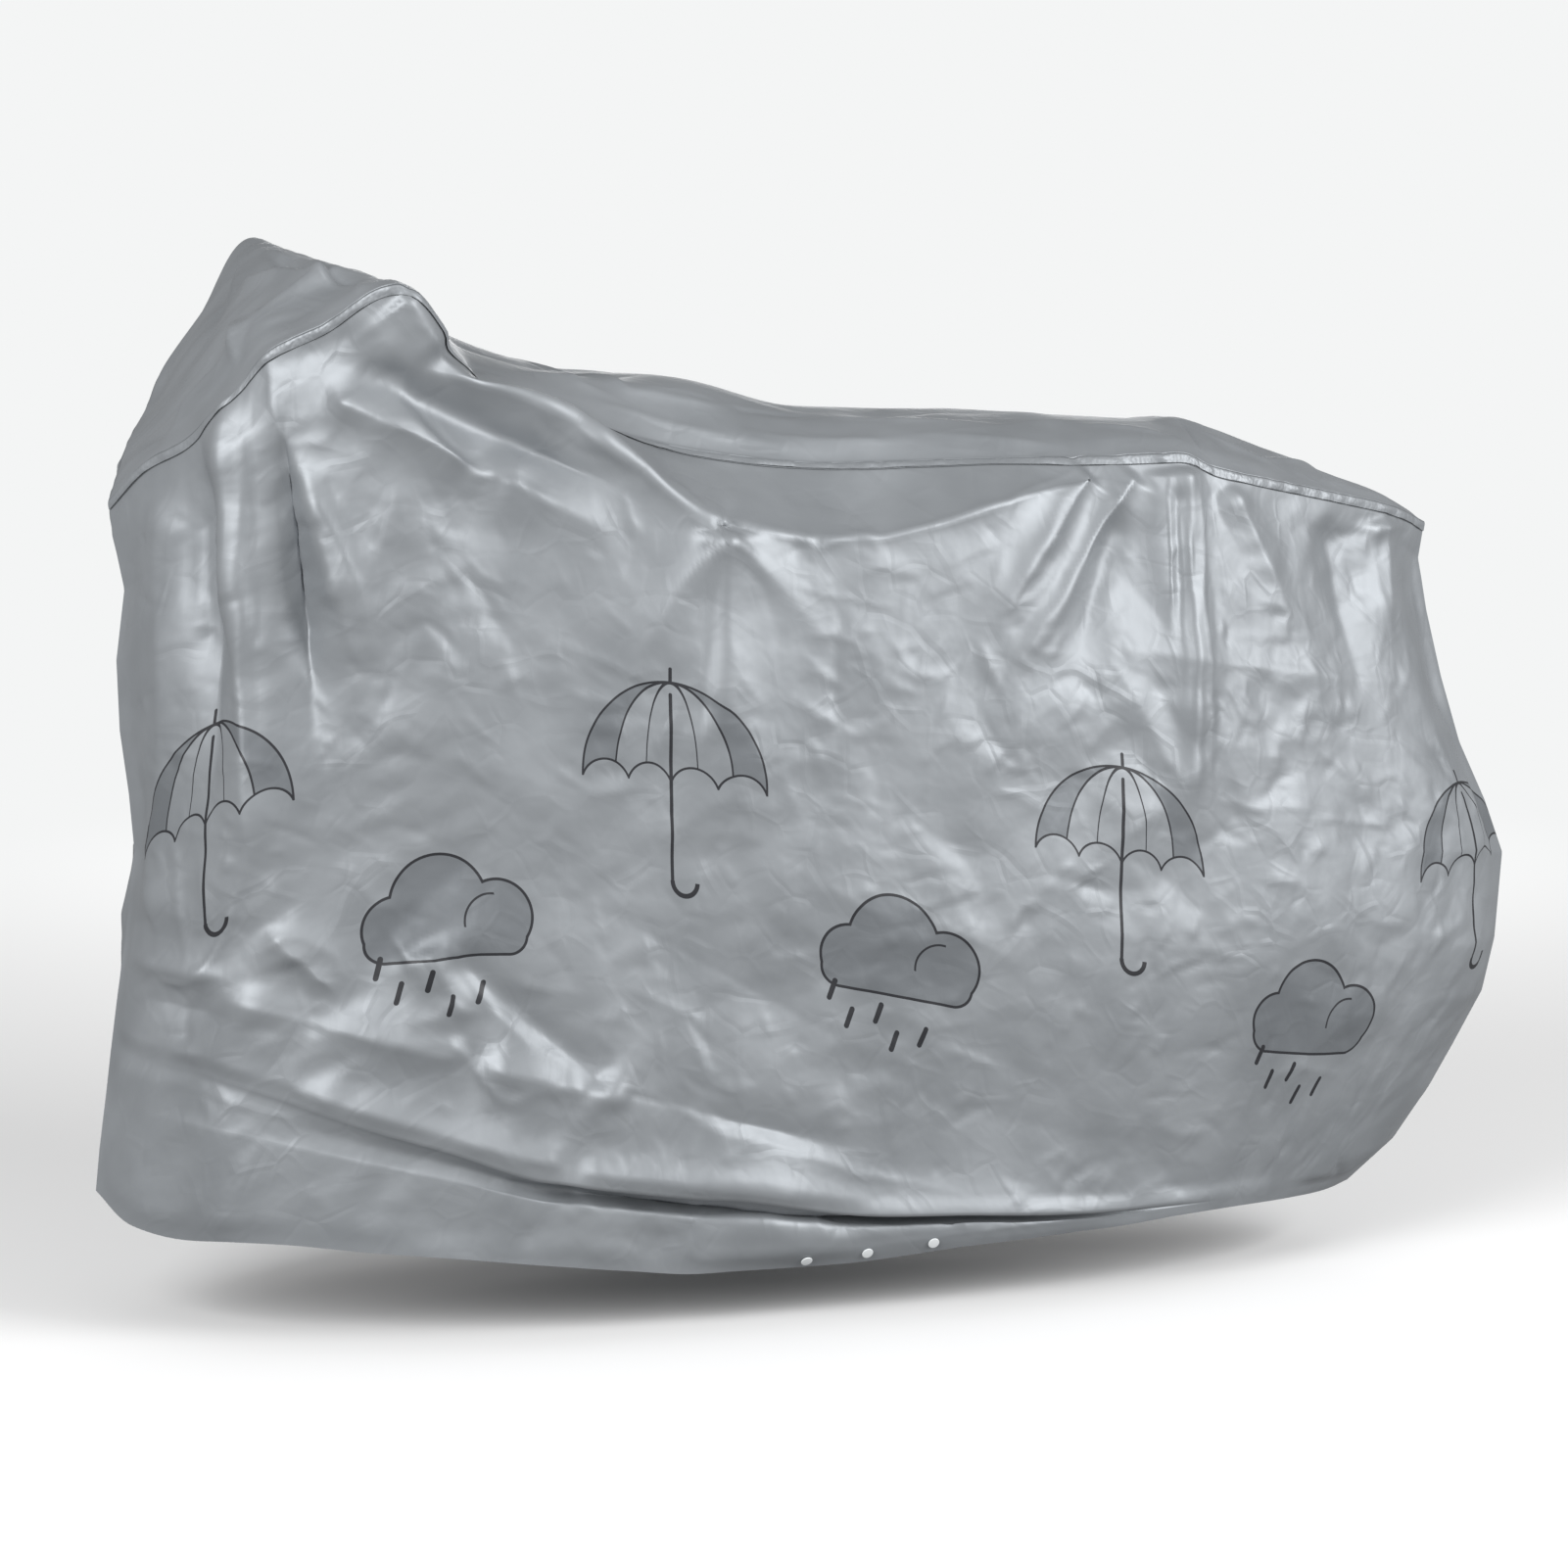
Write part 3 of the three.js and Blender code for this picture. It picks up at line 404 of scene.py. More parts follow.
    ("rear_soft_2", 0.012, 0.0035, ((1.534, 0.124), (1.565, 0.146), (1.56, 0.173))),
    ("rear_soft_3", 0.01, 0.003, ((1.37, 0.106), (1.4, 0.139), (1.4, 0.173))),
    ("rear_line_1", 0.006, 0.0024, ((1.443, 0.383), (1.508, 0.386), (1.591, 0.386))),
    ("rear_line_2", 0.007, 0.0024, ((1.374, 0.456), (1.43, 0.458), (1.452, 0.482))),
    ("rear_line_3", 0.006, 0.0024, ((1.339, 0.385), (1.409, 0.37), (1.465, 0.373))),
    ("rear_line_4", 0.008, 0.0026, ((1.313, 0.531), (1.348, 0.506), (1.387, 0.507))),
    ("rear_line_5", 0.008, 0.0028, ((1.487, 0.304), (1.521, 0.318), (1.53, 0.338))),
    ("rear_line_6", 0.007, -0.0024, ((1.634, 0.297), (1.669, 0.301), (1.721, 0.292))),
    ("rear_swell", 0.014, 0.004, ((1.712, 0.251), (1.716, 0.313), (1.716, 0.375))),
    ("rear_drop_1", 0.009, 0.003, ((1.283, 0.326), (1.27, 0.379), (1.257, 0.419))),
    ("rear_drop_2", 0.008, -0.003, ((1.296, 0.349), (1.287, 0.394), (1.27, 0.433))),
    ("rear_drop_3", 0.008, 0.003, ((1.201, 0.42), (1.227, 0.402), (1.24, 0.368))),
    ("pleat_tip_1", 0.008, 0.006, (
        (0.082, 0.535), (0.1, 0.556), (0.134, 0.569), (0.16, 0.573), (0.186, 0.554), (0.208, 0.519),
        (0.225, 0.49))),
    ("pleat_line_1", 0.007, 0.004, ((0.113, 0.424), (0.117, 0.486), (0.134, 0.553))),
    ("pleat_line_2", 0.007, 0.0035, ((0.152, 0.452), (0.16, 0.512), (0.178, 0.544))),
    ("pleat_line_3", 0.008, 0.004, ((0.048, 0.35), (0.065, 0.441), (0.087, 0.528))),
    ("blob_top", 0.008, 0.005, (
        (0.238, 0.612), (0.256, 0.609), (0.269, 0.614), (0.29, 0.632), (0.299, 0.644),
        (0.308, 0.669), (0.316, 0.681))),
    ("blob_low", 0.008, 0.004, ((0.238, 0.612), (0.26, 0.637), (0.277, 0.664), (0.303, 0.677))),
    ("blob_side", 0.009, 0.004, ((0.247, 0.528), (0.243, 0.563), (0.247, 0.6))),
    ("drag_1", 0.009, 0.0045, (
        (0.303, 0.542), (0.325, 0.584), (0.347, 0.629), (0.368, 0.677), (0.386, 0.717),
        (0.399, 0.749), (0.412, 0.775))),
    ("drag_2", 0.009, 0.004, (
        (0.403, 0.658), (0.42, 0.685), (0.438, 0.7), (0.455, 0.701), (0.481, 0.713), (0.511, 0.745),
        (0.542, 0.763), (0.589, 0.769))),
    ("drag_tip", 0.008, 0.004, ((0.36, 0.735), (0.377, 0.763), (0.403, 0.77), (0.416, 0.751))),
    ("drag_3", 0.008, 0.003, ((0.342, 0.566), (0.364, 0.601), (0.381, 0.619))),
    ("drag_4", 0.007, 0.003, ((0.36, 0.663), (0.373, 0.698), (0.377, 0.719))),
    ("hem_line_1", 0.009, 0.0035, (
        (0.169, 0.599), (0.212, 0.643), (0.247, 0.679), (0.29, 0.705), (0.321, 0.728),
        (0.377, 0.789), (0.438, 0.798), (0.516, 0.788), (0.607, 0.795))),
    ("lip_start_1", 0.007, 0.004, ((0.104, 0.644), (0.117, 0.641), (0.134, 0.65), (0.156, 0.68))),
    ("lip_start_2", 0.008, -0.004, ((0.156, 0.68), (0.221, 0.75), (0.273, 0.798), (0.316, 0.828))),
    ("low_soft_1", 0.014, 0.003, ((0.178, 0.701), (0.264, 0.794), (0.321, 0.838))),
    ("low_soft_2", 0.012, 0.0025, ((0.29, 0.814), (0.308, 0.828), (0.347, 0.862))),
    ("low_1", 0.007, 0.0028, ((0.602, 0.671), (0.637, 0.659), (0.676, 0.652), (0.715, 0.648))),
    ("low_2", 0.006, 0.0024, ((0.568, 0.712), (0.611, 0.703), (0.646, 0.702))),
    ("low_3", 0.009, 0.0032, (
        (0.607, 0.769), (0.693, 0.756), (0.784, 0.768), (0.862, 0.789), (0.945, 0.81), (1.027, 0.827))),
    ("low_4", 0.007, 0.0026, ((0.481, 0.659), (0.524, 0.685), (0.568, 0.686))),
    ("low_5", 0.007, -0.0026, ((0.68, 0.712), (0.715, 0.718), (0.763, 0.719))),
    ("low_6", 0.007, 0.0026, ((0.845, 0.734), (0.875, 0.725), (0.897, 0.741))),
    ("low_7", 0.006, 0.0024, ((0.867, 0.757), (0.88, 0.746), (0.888, 0.76))),
    ("low_8", 0.008, 0.003, ((1.11, 0.783), (1.131, 0.797), (1.153, 0.816))),
    ("low_9", 0.007, 0.0026, ((1.144, 0.769), (1.162, 0.786), (1.162, 0.823))),
    ("low_10", 0.007, 0.0024, ((0.988, 0.667), (1.036, 0.68), (1.062, 0.695))),
    ("low_11", 0.006, 0.0022, ((0.919, 0.672), (0.954, 0.685), (0.975, 0.684))),
    ("low_12", 0.003, 0.0015, ((1.209, 0.681), (1.214, 0.751), (1.222, 0.821))),
    ("tuck_nick", 0.006, -0.005, ((1.595, 0.775), (1.621, 0.795), (1.682, 0.82))),
    ("low_13", 0.007, 0.0024, ((1.253, 0.742), (1.287, 0.758), (1.326, 0.75))),
    ("low_14", 0.008, 0.0026, ((1.391, 0.683), (1.452, 0.669), (1.534, 0.678))),
    ("low_15", 0.007, -0.0024, ((1.27, 0.664), (1.309, 0.658), (1.357, 0.661))),
])


CREASE_FADE, CREASE_BACK, CREASE_POWER, CREASE_REACH = 0.35, 0.0015, 1.1, 6
CREASE_END_WIDTH, CREASE_END_RISE = 0.3, 0.15


def crease_rise(creases, u, v):
    """Height that a list of creases adds at flat places u, v. Each has a sharp back and soft flanks."""
    total = np.zeros(u.shape)
    for crease in creases:
        path = np.array(crease["path"], float)
        runs = np.diff(path, axis=0)
        lengths = np.linalg.norm(runs, axis=1)
        starts = np.concatenate([[0], np.cumsum(lengths)])
        reach = CREASE_REACH * crease["width"]
        low, high = path.min(0) - reach, path.max(0) + reach
        near = (u > low[0]) & (u < high[0]) & (v > low[1]) & (v < high[1])
        place = np.stack([u[near], v[near]], -1)
        nearest = np.full(len(place), np.inf)
        share = np.zeros(len(place))
        for start, run, length, before in zip(path, runs, lengths, starts):
            along = np.clip((place - start) @ run / length**2, 0, 1)
            away = np.linalg.norm(place - start - along[:, None] * run, axis=1)
            closer = away < nearest
            nearest = np.where(closer, away, nearest)
            share = np.where(closer, (before + along * length) / starts[-1], share)
        ends = smoothstep(share / CREASE_FADE) * smoothstep((1 - share) / CREASE_FADE)
        width = crease["width"] * (CREASE_END_WIDTH + (1 - CREASE_END_WIDTH) * ends)
        away = np.sqrt(nearest**2 + CREASE_BACK**2) - CREASE_BACK
        rise = crease["rise"] * (CREASE_END_RISE + (1 - CREASE_END_RISE) * ends)
        total[near] += rise * np.exp(-((away / width) ** CREASE_POWER))
    return total


def scatter(i, j, seed):
    """An even random number from 0 to 1 for each whole-numbered place i, j."""
    n = (i * 374761393 + j * 668265263 + seed * 974634777) & 0xFFFFFFFF
    n = ((n ^ (n >> 13)) * 1274126177) & 0xFFFFFFFF
    return ((n ^ (n >> 16)) & 0xFFFF) / 0xFFFF


LATTICE_ROW = 0.87


def flats(u, v, size, seed):
    """Height, -0.5 to 0.5, of film once crumpled: three-cornered flats that meet in creases."""
    b = v / (LATTICE_ROW * size)
    a = u / size - 0.5 * b
    i, j = np.floor(a).astype(np.int64), np.floor(b).astype(np.int64)
    s, t = a - i, b - j
    first, last = scatter(i, j, seed), scatter(i + 1, j + 1, seed)
    along, down = scatter(i + 1, j, seed), scatter(i, j + 1, seed)
    lower = first + s * (along - first) + t * (down - first)
    upper = last + (1 - s) * (down - last) + (1 - t) * (along - last)
    return np.where(s + t < 1, lower, upper) - 0.5


def waves(u, v, size, seed):
    """Smooth random height, about -0.5 to 0.5, whose hills are size apart."""
    a, b = u / size, v / size
    i, j = np.floor(a).astype(np.int64), np.floor(b).astype(np.int64)
    s, t = smoothstep(a - i), smoothstep(b - j)
    low = scatter(i, j, seed) * (1 - s) + scatter(i + 1, j, seed) * s
    high = scatter(i, j + 1, seed) * (1 - s) + scatter(i + 1, j + 1, seed) * s
    return low * (1 - t) + high * t - 0.5


crumple_sizes = table(("size", "slope", "turn", "stretch", "patchy"), [
    (0.150, 0.12, 0.30, 1.5, 0.0),
    (0.080, 0.12, -0.75, 1.6, 0.4),
    (0.042, 0.13, 0.95, 1.8, 0.7),
    (0.021, 0.14, -0.35, 1.8, 0.8),
])
BEND, BEND_SIZE, PATCH_SIZE, PATCH_EDGE = 0.45, 1.3, 0.21, 2.2


def crumple(u, v, seed, slope=1.0, stretch=1.0):
    """Height of the film's crumples: flats of several sizes, their creases bent by slow waves."""
    rise = np.zeros(u.shape)
    for k, row in enumerate(crumple_sizes):
        size, first = row["size"], seed + 20 * k
        bent_u = u / stretch + BEND * size * waves(u, v, BEND_SIZE * size, first)
        bent_v = v + BEND * size * waves(u, v, BEND_SIZE * size, first + 1)
        along = bent_u * math.cos(row["turn"]) + bent_v * math.sin(row["turn"])
        across = bent_v * math.cos(row["turn"]) - bent_u * math.sin(row["turn"])
        patch = smoothstep(0.5 + PATCH_EDGE * waves(u, v, PATCH_SIZE, first + 2))
        share = 1 - row["patchy"] * (1 - patch)
        rise += slope * row["slope"] * size * share * flats(along / row["stretch"], across, size, first + 3)
    return rise


FILM_START, FILM_REACH = (0.05, 0.08), (1.78, 1.05)
STRAY_HALF, STRAY_WIDTH, STRAY_RISE = (0.010, 0.038), (0.0035, 0.0065), (0.0005, 0.0015)
STRAY_TURN, STRAY_BEND = 0.55, 0.12


def stray_creases(count, seed, lean):
    """Short creases left by packing, scattered over the film and mostly leaning one way."""
    draw = np.random.default_rng(seed)
    creases = []
    for _ in range(count):
        middle = draw.uniform(FILM_START, FILM_REACH)
        turn = lean(middle) + draw.normal(0, STRAY_TURN)
        half = draw.uniform(*STRAY_HALF) * np.array([math.cos(turn), math.sin(turn)])
        bend = draw.normal(0, STRAY_BEND) * np.array([-half[1], half[0]])
        rise = draw.choice([-1, 1]) * draw.uniform(*STRAY_RISE)
        path = (tuple(middle - half), tuple(middle + bend), tuple(middle + half))
        creases.append(dict(width=draw.uniform(*STRAY_WIDTH), rise=rise, path=path))
    return creases


def grid_normals(points):
    """Unit normals of a grid of points, towards the side that sees its columns run to the right."""
    along = np.gradient(points, axis=0)
    down = np.gradient(points, axis=1)
    normals = np.cross(down, along)
    return normals / np.maximum(np.linalg.norm(normals, axis=-1, keepdims=True), 1e-12)


SAME_POINT = 0.00001


def film_sheet(name, points, flat, turned, welds=1):
    """A sheet of film through a grid of points, with its flat layout as UVs. turned flips its face.

    Its attribute from_weld is the distance to the sheet's top edge, or with two welds to the
    nearer of its two long edges.
    """
    columns, rows = points.shape[:2]
    ids = np.arange(columns * rows).reshape(columns, rows)
    corners = np.stack([ids[:-1, :-1], ids[:-1, 1:], ids[1:, 1:], ids[1:, :-1]], -1).reshape(-1, 4)
    if turned:
        corners = corners[:, ::-1]
    mesh = bpy.data.meshes.new(name)
    mesh.from_pydata(points.reshape(-1, 3).tolist(), [], corners.tolist())
    layout = mesh.uv_layers.new(name="flat")
    layout.data.foreach_set("uv", flat.reshape(-1, 2)[corners.ravel()].ravel())
    distance = run_lengths(points)
    if welds == 2:
        distance = np.minimum(distance, distance[:, -1:] - distance)
    from_weld = mesh.attributes.new("from_weld", "FLOAT", "POINT")
    from_weld.data.foreach_set("value", distance.ravel())
    mesh.polygons.foreach_set("use_smooth", [True] * len(mesh.polygons))
    shape = bmesh.new()
    shape.from_mesh(mesh)
    bmesh.ops.remove_doubles(shape, verts=shape.verts, dist=SAME_POINT)
    shape.to_mesh(mesh)
    shape.free()
    piece = bpy.data.objects.new(name, mesh)
    bpy.context.scene.collection.objects.link(piece)
    piece.data.materials.append(film_material)
    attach(piece, "root")
    return piece


EDGE_CALM, WELD_CALM = 0.030, 0.014


def edge_calm(u, v, reach):
    """Falls to zero at the cut edges of a panel, so that its welds and hem stay clean."""
    from_side = np.minimum(u - u.min(), u.max() - u)
    from_ends = np.minimum(v, v.max(axis=1, keepdims=True) - v)
    return smoothstep(from_side / reach) * smoothstep(from_ends / reach)


def linear(colour):
    """Linear RGBA of an sRGB hex colour."""
    channels = [int(colour[i:i + 2], 16) / 255 for i in (1, 3, 5)]
    return [c / 12.92 if c <= 0.04045 else ((c + 0.055) / 1.055) ** 2.4 for c in channels] + [1]


def add(tree, kind, settings=None, **inputs):
    """Adds a node. settings sets its properties, inputs its sockets: a value, or an output to link."""
    node = tree.nodes.new("ShaderNode" + kind)
    for name, value in (settings or {}).items():
        setattr(node, name, value)
    for name, value in inputs.items():
        key = int(name[1:]) if name[0] == "n" and name[1:].isdigit() else name.replace("_", " ")
        if isinstance(value, bpy.types.NodeSocket):
            tree.links.new(value, node.inputs[key])
        else:
            node.inputs[key].default_value = value
    return node


# Print: soft black line drawings with half-clear grey fills, screen printed along the panels.
# Umbrellas and rain clouds take turns in two staggered rows, which repeat every PRINT_PITCH.

PRINT_PITCH, UMBRELLA_DOWN, CLOUD_DOWN = 0.52, 0.44, 0.60
LINE, CANOPY = 0.0012, 0.105


def largest(tree, *distances):
    """Distance to what several shapes have in common."""
    result = distances[0]
    for distance in distances[1:]:
        result = add(tree, "Math", {"operation": "MAXIMUM"}, n0=result, n1=distance).outputs[0]
    return result


def smallest(tree, *distances):
    """Distance to several shapes taken together."""
    result = distances[0]
    for distance in distances[1:]:
        result = add(tree, "Math", {"operation": "MINIMUM"}, n0=result, n1=distance).outputs[0]
    return result


def disc(tree, place, centre, radius, sign=1):
    """Distance from a round shape's edge, negative inside. sign -1 turns it inside out."""
    away = add(tree, "VectorMath", {"operation": "DISTANCE"}, n0=place, n1=(*centre, 0)).outputs["Value"]
    return add(tree, "Math", {"operation": "MULTIPLY_ADD"}, n0=away, n1=sign, n2=-sign * radius).outputs[0]


def bar(tree, place, centre, half, radius):
    """Distance from the edge of a round-ended bar along u or v, half its length each way."""
    off = add(tree, "VectorMath", {"operation": "SUBTRACT"}, n0=place, n1=(*centre, 0)).outputs[0]
    off = add(tree, "VectorMath", {"operation": "ABSOLUTE"}, n0=off).outputs[0]
    off = add(tree, "VectorMath", {"operation": "SUBTRACT"}, n0=off, n1=(*half, 0)).outputs[0]
    off = add(tree, "VectorMath", {"operation": "MAXIMUM"}, n0=off, n1=(0, 0, 0)).outputs[0]
    away = add(tree, "VectorMath", {"operation": "LENGTH"}, n0=off).outputs["Value"]
    return add(tree, "Math", {"operation": "SUBTRACT"}, n0=away, n1=radius).outputs[0]


def outline(tree, distance, half_line):
    """Distance from a line drawn along a shape's edge."""
    away = add(tree, "Math", {"operation": "ABSOLUTE"}, n0=distance).outputs[0]
    return add(tree, "Math", {"operation": "SUBTRACT"}, n0=away, n1=half_line).outputs[0]


def motif_place(tree, flat, shift, down):
    """Flat place measured from the middle of the nearest motif in a row, v upwards."""
    parts = add(tree, "SeparateXYZ", Vector=flat)
    along = add(tree, "Math", {"operation": "ADD"}, n0=parts.outputs["X"], n1=shift).outputs[0]
    along = add(tree, "Math", {"operation": "FLOORED_MODULO"}, n0=along, n1=PRINT_PITCH).outputs[0]
    along = add(tree, "Math", {"operation": "SUBTRACT"}, n0=along, n1=PRINT_PITCH / 2).outputs[0]
    up = add(tree, "Math", {"operation": "SUBTRACT"}, n0=down, n1=parts.outputs["Y"]).outputs[0]
    return add(tree, "CombineXYZ", X=along, Y=up).outputs[0]


def umbrella(tree, place):
    """Ink lines and grey fill of an open umbrella, as distances."""
    canopy = disc(tree, place, (0, 0), CANOPY)
    for x in (-0.0788, -0.0263, 0.0263, 0.0788):
        canopy = largest(tree, canopy, disc(tree, place, (x, -0.010), 0.0281, -1))
    canopy = largest(tree, canopy, disc(tree, place, (0, 10), 10))
    lines = outline(tree, canopy, LINE)
    for squeeze in (3.4, 1.55):
        narrow = add(tree, "VectorMath", {"operation": "MULTIPLY"}, n0=place, n1=(squeeze, 1, 1)).outputs[0]
        gore = disc(tree, narrow, (0, 0), CANOPY)
        rib = outline(tree, gore, LINE * squeeze**0.5)
        lines = smallest(tree, lines, largest(tree, rib, canopy))
    inner = bar(tree, place, (0, -0.008), (0, 0.100), LINE * 1.7)
    lines = smallest(tree, lines, inner, bar(tree, place, (0, 0.112), (0, 0.007), LINE * 1.7))
    outer = add(tree, "Math", {"operation": "MULTIPLY"}, n0=gore, n1=-1.0).outputs[0]
    hook = outline(tree, disc(tree, place, (0.015, -0.104), 0.015), LINE * 2.2)
    lines = smallest(tree, lines, largest(tree, hook, disc(tree, place, (0, -10.104), 10)))
    return lines, largest(tree, canopy, outer)


def rain_cloud(tree, place):
    """Ink lines and grey fill of a cloud over slanting rain, as distances."""
    cloud = smallest(
        tree,
        disc(tree, place, (-0.058, 0.004), 0.034),
        disc(tree, place, (-0.010, 0.026), 0.052),
        disc(tree, place, (0.052, 0.010), 0.039),
        bar(tree, place, (-0.003, -0.010), (0.066, 0), 0.021),
    )
    lines = outline(tree, cloud, LINE * 1.3)
    curl = outline(tree, disc(tree, place, (0.046, 0.004), 0.030), LINE)
    lines = smallest(tree, lines, largest(tree, curl, disc(tree, place, (0.020, 0.030), 0.030)))
    slant = add(tree, "VectorRotate", {"rotation_type": "Z_AXIS"}, Vector=place, Angle=0.32).outputs[0]
    for x, y in ((-0.062, -0.058), (-0.034, -0.078), (-0.006, -0.058), (0.022, -0.078), (0.050, -0.058)):
        lines = smallest(tree, lines, bar(tree, slant, (x, y), (0, 0.010), LINE * 2.4))
    return lines, cloud


LAP, LAP_FADE, LAP_SHADE_WIDTH, WELD_GROOVE = 0.011, 0.002, 0.0012, 0.0014

# PEVA film, blown and filled with pearl pigment: satin, half metallic, with soft glints on
# every small crease. The finest crinkles are under the mesh's spacing, so they are bump.
film_material = bpy.data.materials.new("pearl grey PEVA film, blown, satin")
film_material.use_nodes = True
tree = film_material.node_tree
tree.nodes.clear()
flat = add(tree, "UVMap", {"uv_map": "flat"}).outputs["UV"]
cloud = add(tree, "TexNoise", Vector=flat, Scale=9.0, Detail=2.0).outputs["Fac"]
tone = add(tree, "ValToRGB", Fac=cloud)
tone.color_ramp.elements[0].position = 0.3
tone.color_ramp.elements[0].color = linear("#8A8E92")
tone.color_ramp.elements[1].position = 0.7
tone.color_ramp.elements[1].color = linear("#95999D")
from_weld = add(tree, "Attribute", {"attribute_name": "from_weld"}).outputs["Fac"]
from_line = add(tree, "Math", {"operation": "SUBTRACT"}, n0=from_weld, n1=LAP).outputs[0]
from_line = add(tree, "Math", {"operation": "ABSOLUTE"}, n0=from_line).outputs[0]
# Painted shade: a dark line along the lap's edge on the side panels and along the seam fold on the top
# panel, where the overhanging lap shades the film.
painted_lap_shade = add(tree, "MapRange", Value=from_line, From_Max=LAP_SHADE_WIDTH, To_Min=0.40, To_Max=0.0).outputs[0]
lap_shaded = add(tree, "Mix", {"data_type": "RGBA"}, n0=painted_lap_shade, n6=tone.outputs["Color"], n7=linear("#565A5E"))
first = umbrella(tree, motif_place(tree, flat, 0.10, UMBRELLA_DOWN))
second = rain_cloud(tree, motif_place(tree, flat, 0.36, CLOUD_DOWN))
in_line = add(tree, "Math", {"operation": "LESS_THAN"}, n0=smallest(tree, first[0], second[0]), n1=0.0)
in_fill = add(tree, "Math", {"operation": "LESS_THAN"}, n0=smallest(tree, first[1], second[1]), n1=0.0)
fill_share = add(tree, "Math", {"operation": "MULTIPLY"}, n0=in_fill.outputs[0], n1=0.45)
filled = add(tree, "Mix", {"data_type": "RGBA"}, n0=fill_share.outputs[0], n6=lap_shaded.outputs[2],
             n7=linear("#4A4F54"))
inked = add(tree, "Mix", {"data_type": "RGBA"}, n0=in_line.outputs[0], n6=filled.outputs[2],
            n7=linear("#26272B"))
shine = add(tree, "MapRange", Value=in_line.outputs[0], To_Min=0.42, To_Max=0.1)
gloss = add(tree, "MapRange", Value=cloud, From_Min=0.3, From_Max=0.7, To_Min=0.46, To_Max=0.58)
bend = add(tree, "TexNoise", {"noise_dimensions": "2D"}, Vector=flat, Scale=16.0, Detail=1.0)
bent = add(tree, "VectorMath", {"operation": "MULTIPLY_ADD"}, n0=bend.outputs["Color"],
           n1=(0.02, 0.02, 0), n2=flat).outputs[0]
grain = add(tree, "TexNoise", {"noise_dimensions": "2D"}, Vector=flat, Scale=110.0, Detail=0.0)
height = add(tree, "Math", {"operation": "MULTIPLY"}, n0=grain.outputs["Fac"], n1=0.30).outputs[0]
for scale, breadth, tall, seed in ((11.0, 0.075, 0.8, 3.0), (27.0, 0.130, 0.6, 7.0)):
    edges = add(tree, "TexVoronoi", {"voronoi_dimensions": "2D", "feature": "DISTANCE_TO_EDGE"},
                Vector=bent, Scale=scale)
    crest = add(tree, "MapRange", Value=edges.outputs["Distance"], From_Max=breadth, To_Min=1.0, To_Max=0.0)
    layer = add(tree, "VectorMath", {"operation": "ADD"}, n0=flat, n1=(0, 0, seed)).outputs[0]
    share = add(tree, "TexNoise", {"noise_dimensions": "3D"}, Vector=layer, Scale=14.0, Detail=0.0)
    share = add(tree, "MapRange", Value=share.outputs["Fac"], From_Min=0.3, From_Max=0.7,
                To_Min=-tall, To_Max=tall)
    height = add(tree, "Math", {"operation": "MULTIPLY_ADD"}, n0=crest.outputs[0], n1=share.outputs[0],
                 n2=height).outputs[0]
groove = add(tree, "MapRange", Value=from_line, From_Max=WELD_GROOVE, To_Min=-2.4, To_Max=0.0).outputs[0]
in_band = add(tree, "MapRange", Value=from_weld, From_Min=LAP - LAP_FADE, From_Max=LAP, To_Min=1.1,
              To_Max=0.0)
ribs = add(tree, "TexNoise", {"noise_dimensions": "2D"}, Vector=flat, Scale=240.0, Detail=0.0).outputs["Fac"]
ribs = add(tree, "Math", {"operation": "MULTIPLY_ADD"}, n0=ribs, n1=in_band.outputs[0], n2=groove).outputs[0]
height = add(tree, "Math", {"operation": "ADD"}, n0=height, n1=ribs).outputs[0]
bump = add(tree, "Bump", Strength=1.0, Distance=0.0004, Height=height)
shader = add(tree, "BsdfPrincipled", Base_Color=inked.outputs[2], Metallic=shine.outputs[0],
             Roughness=gloss.outputs[0], IOR=1.5, Normal=bump.outputs["Normal"])
add(tree, "OutputMaterial", Surface=shader.outputs["BSDF"])

# The part's origin lies at this station, as high as the solids' lowest hem says.
HOLD_STATION = 12
lowest_hem = min(row["hem_z"] for row in sections)
origin = np.array([sections[HOLD_STATION]["seam_x"], 0, lowest_hem - cad_box[0][2]])


def print_down(points, v):
    """Distance down the film from a smooth line along the panel, which the print follows."""
    middle = points.shape[1] // 2
    along = np.linspace(0, 1, len(points))
    straight = points[:, middle, 2] + v[:, middle]
    return v + (np.polyval(np.polyfit(along, straight, 3), along) - straight)[:, None]


PULL_DOWN, PULL_ALONG, PULL_TURN, PULL_SPREAD = 0.75, 0.9, 2.6, 0.4


def pull_lean(place):
    """Direction in which a side panel is pulled at a flat place, as an angle from u to v."""
    return math.atan2(PULL_DOWN, PULL_ALONG * math.cos(PULL_TURN * place[0]) + PULL_SPREAD * place[1])


NEAR_COLUMNS, NEAR_UPPER_ROWS, NEAR_LOWER_ROWS, NEAR_TUCK_ROWS = 400, 20, 190, 34
CREASE_STRAY, CREASE_STRAY_SIZE, NEAR_CREASES = 0.007, 0.050, 0.6
LIP_CALM = 0.022
SNAP_STRIP, SNAP_STRIP_LEAN = 0.020, 0.006
SNAP_STRIP_FROM, SNAP_STRIP_TO, SNAP_STRIP_FADE = 0.68, 1.26, 0.10

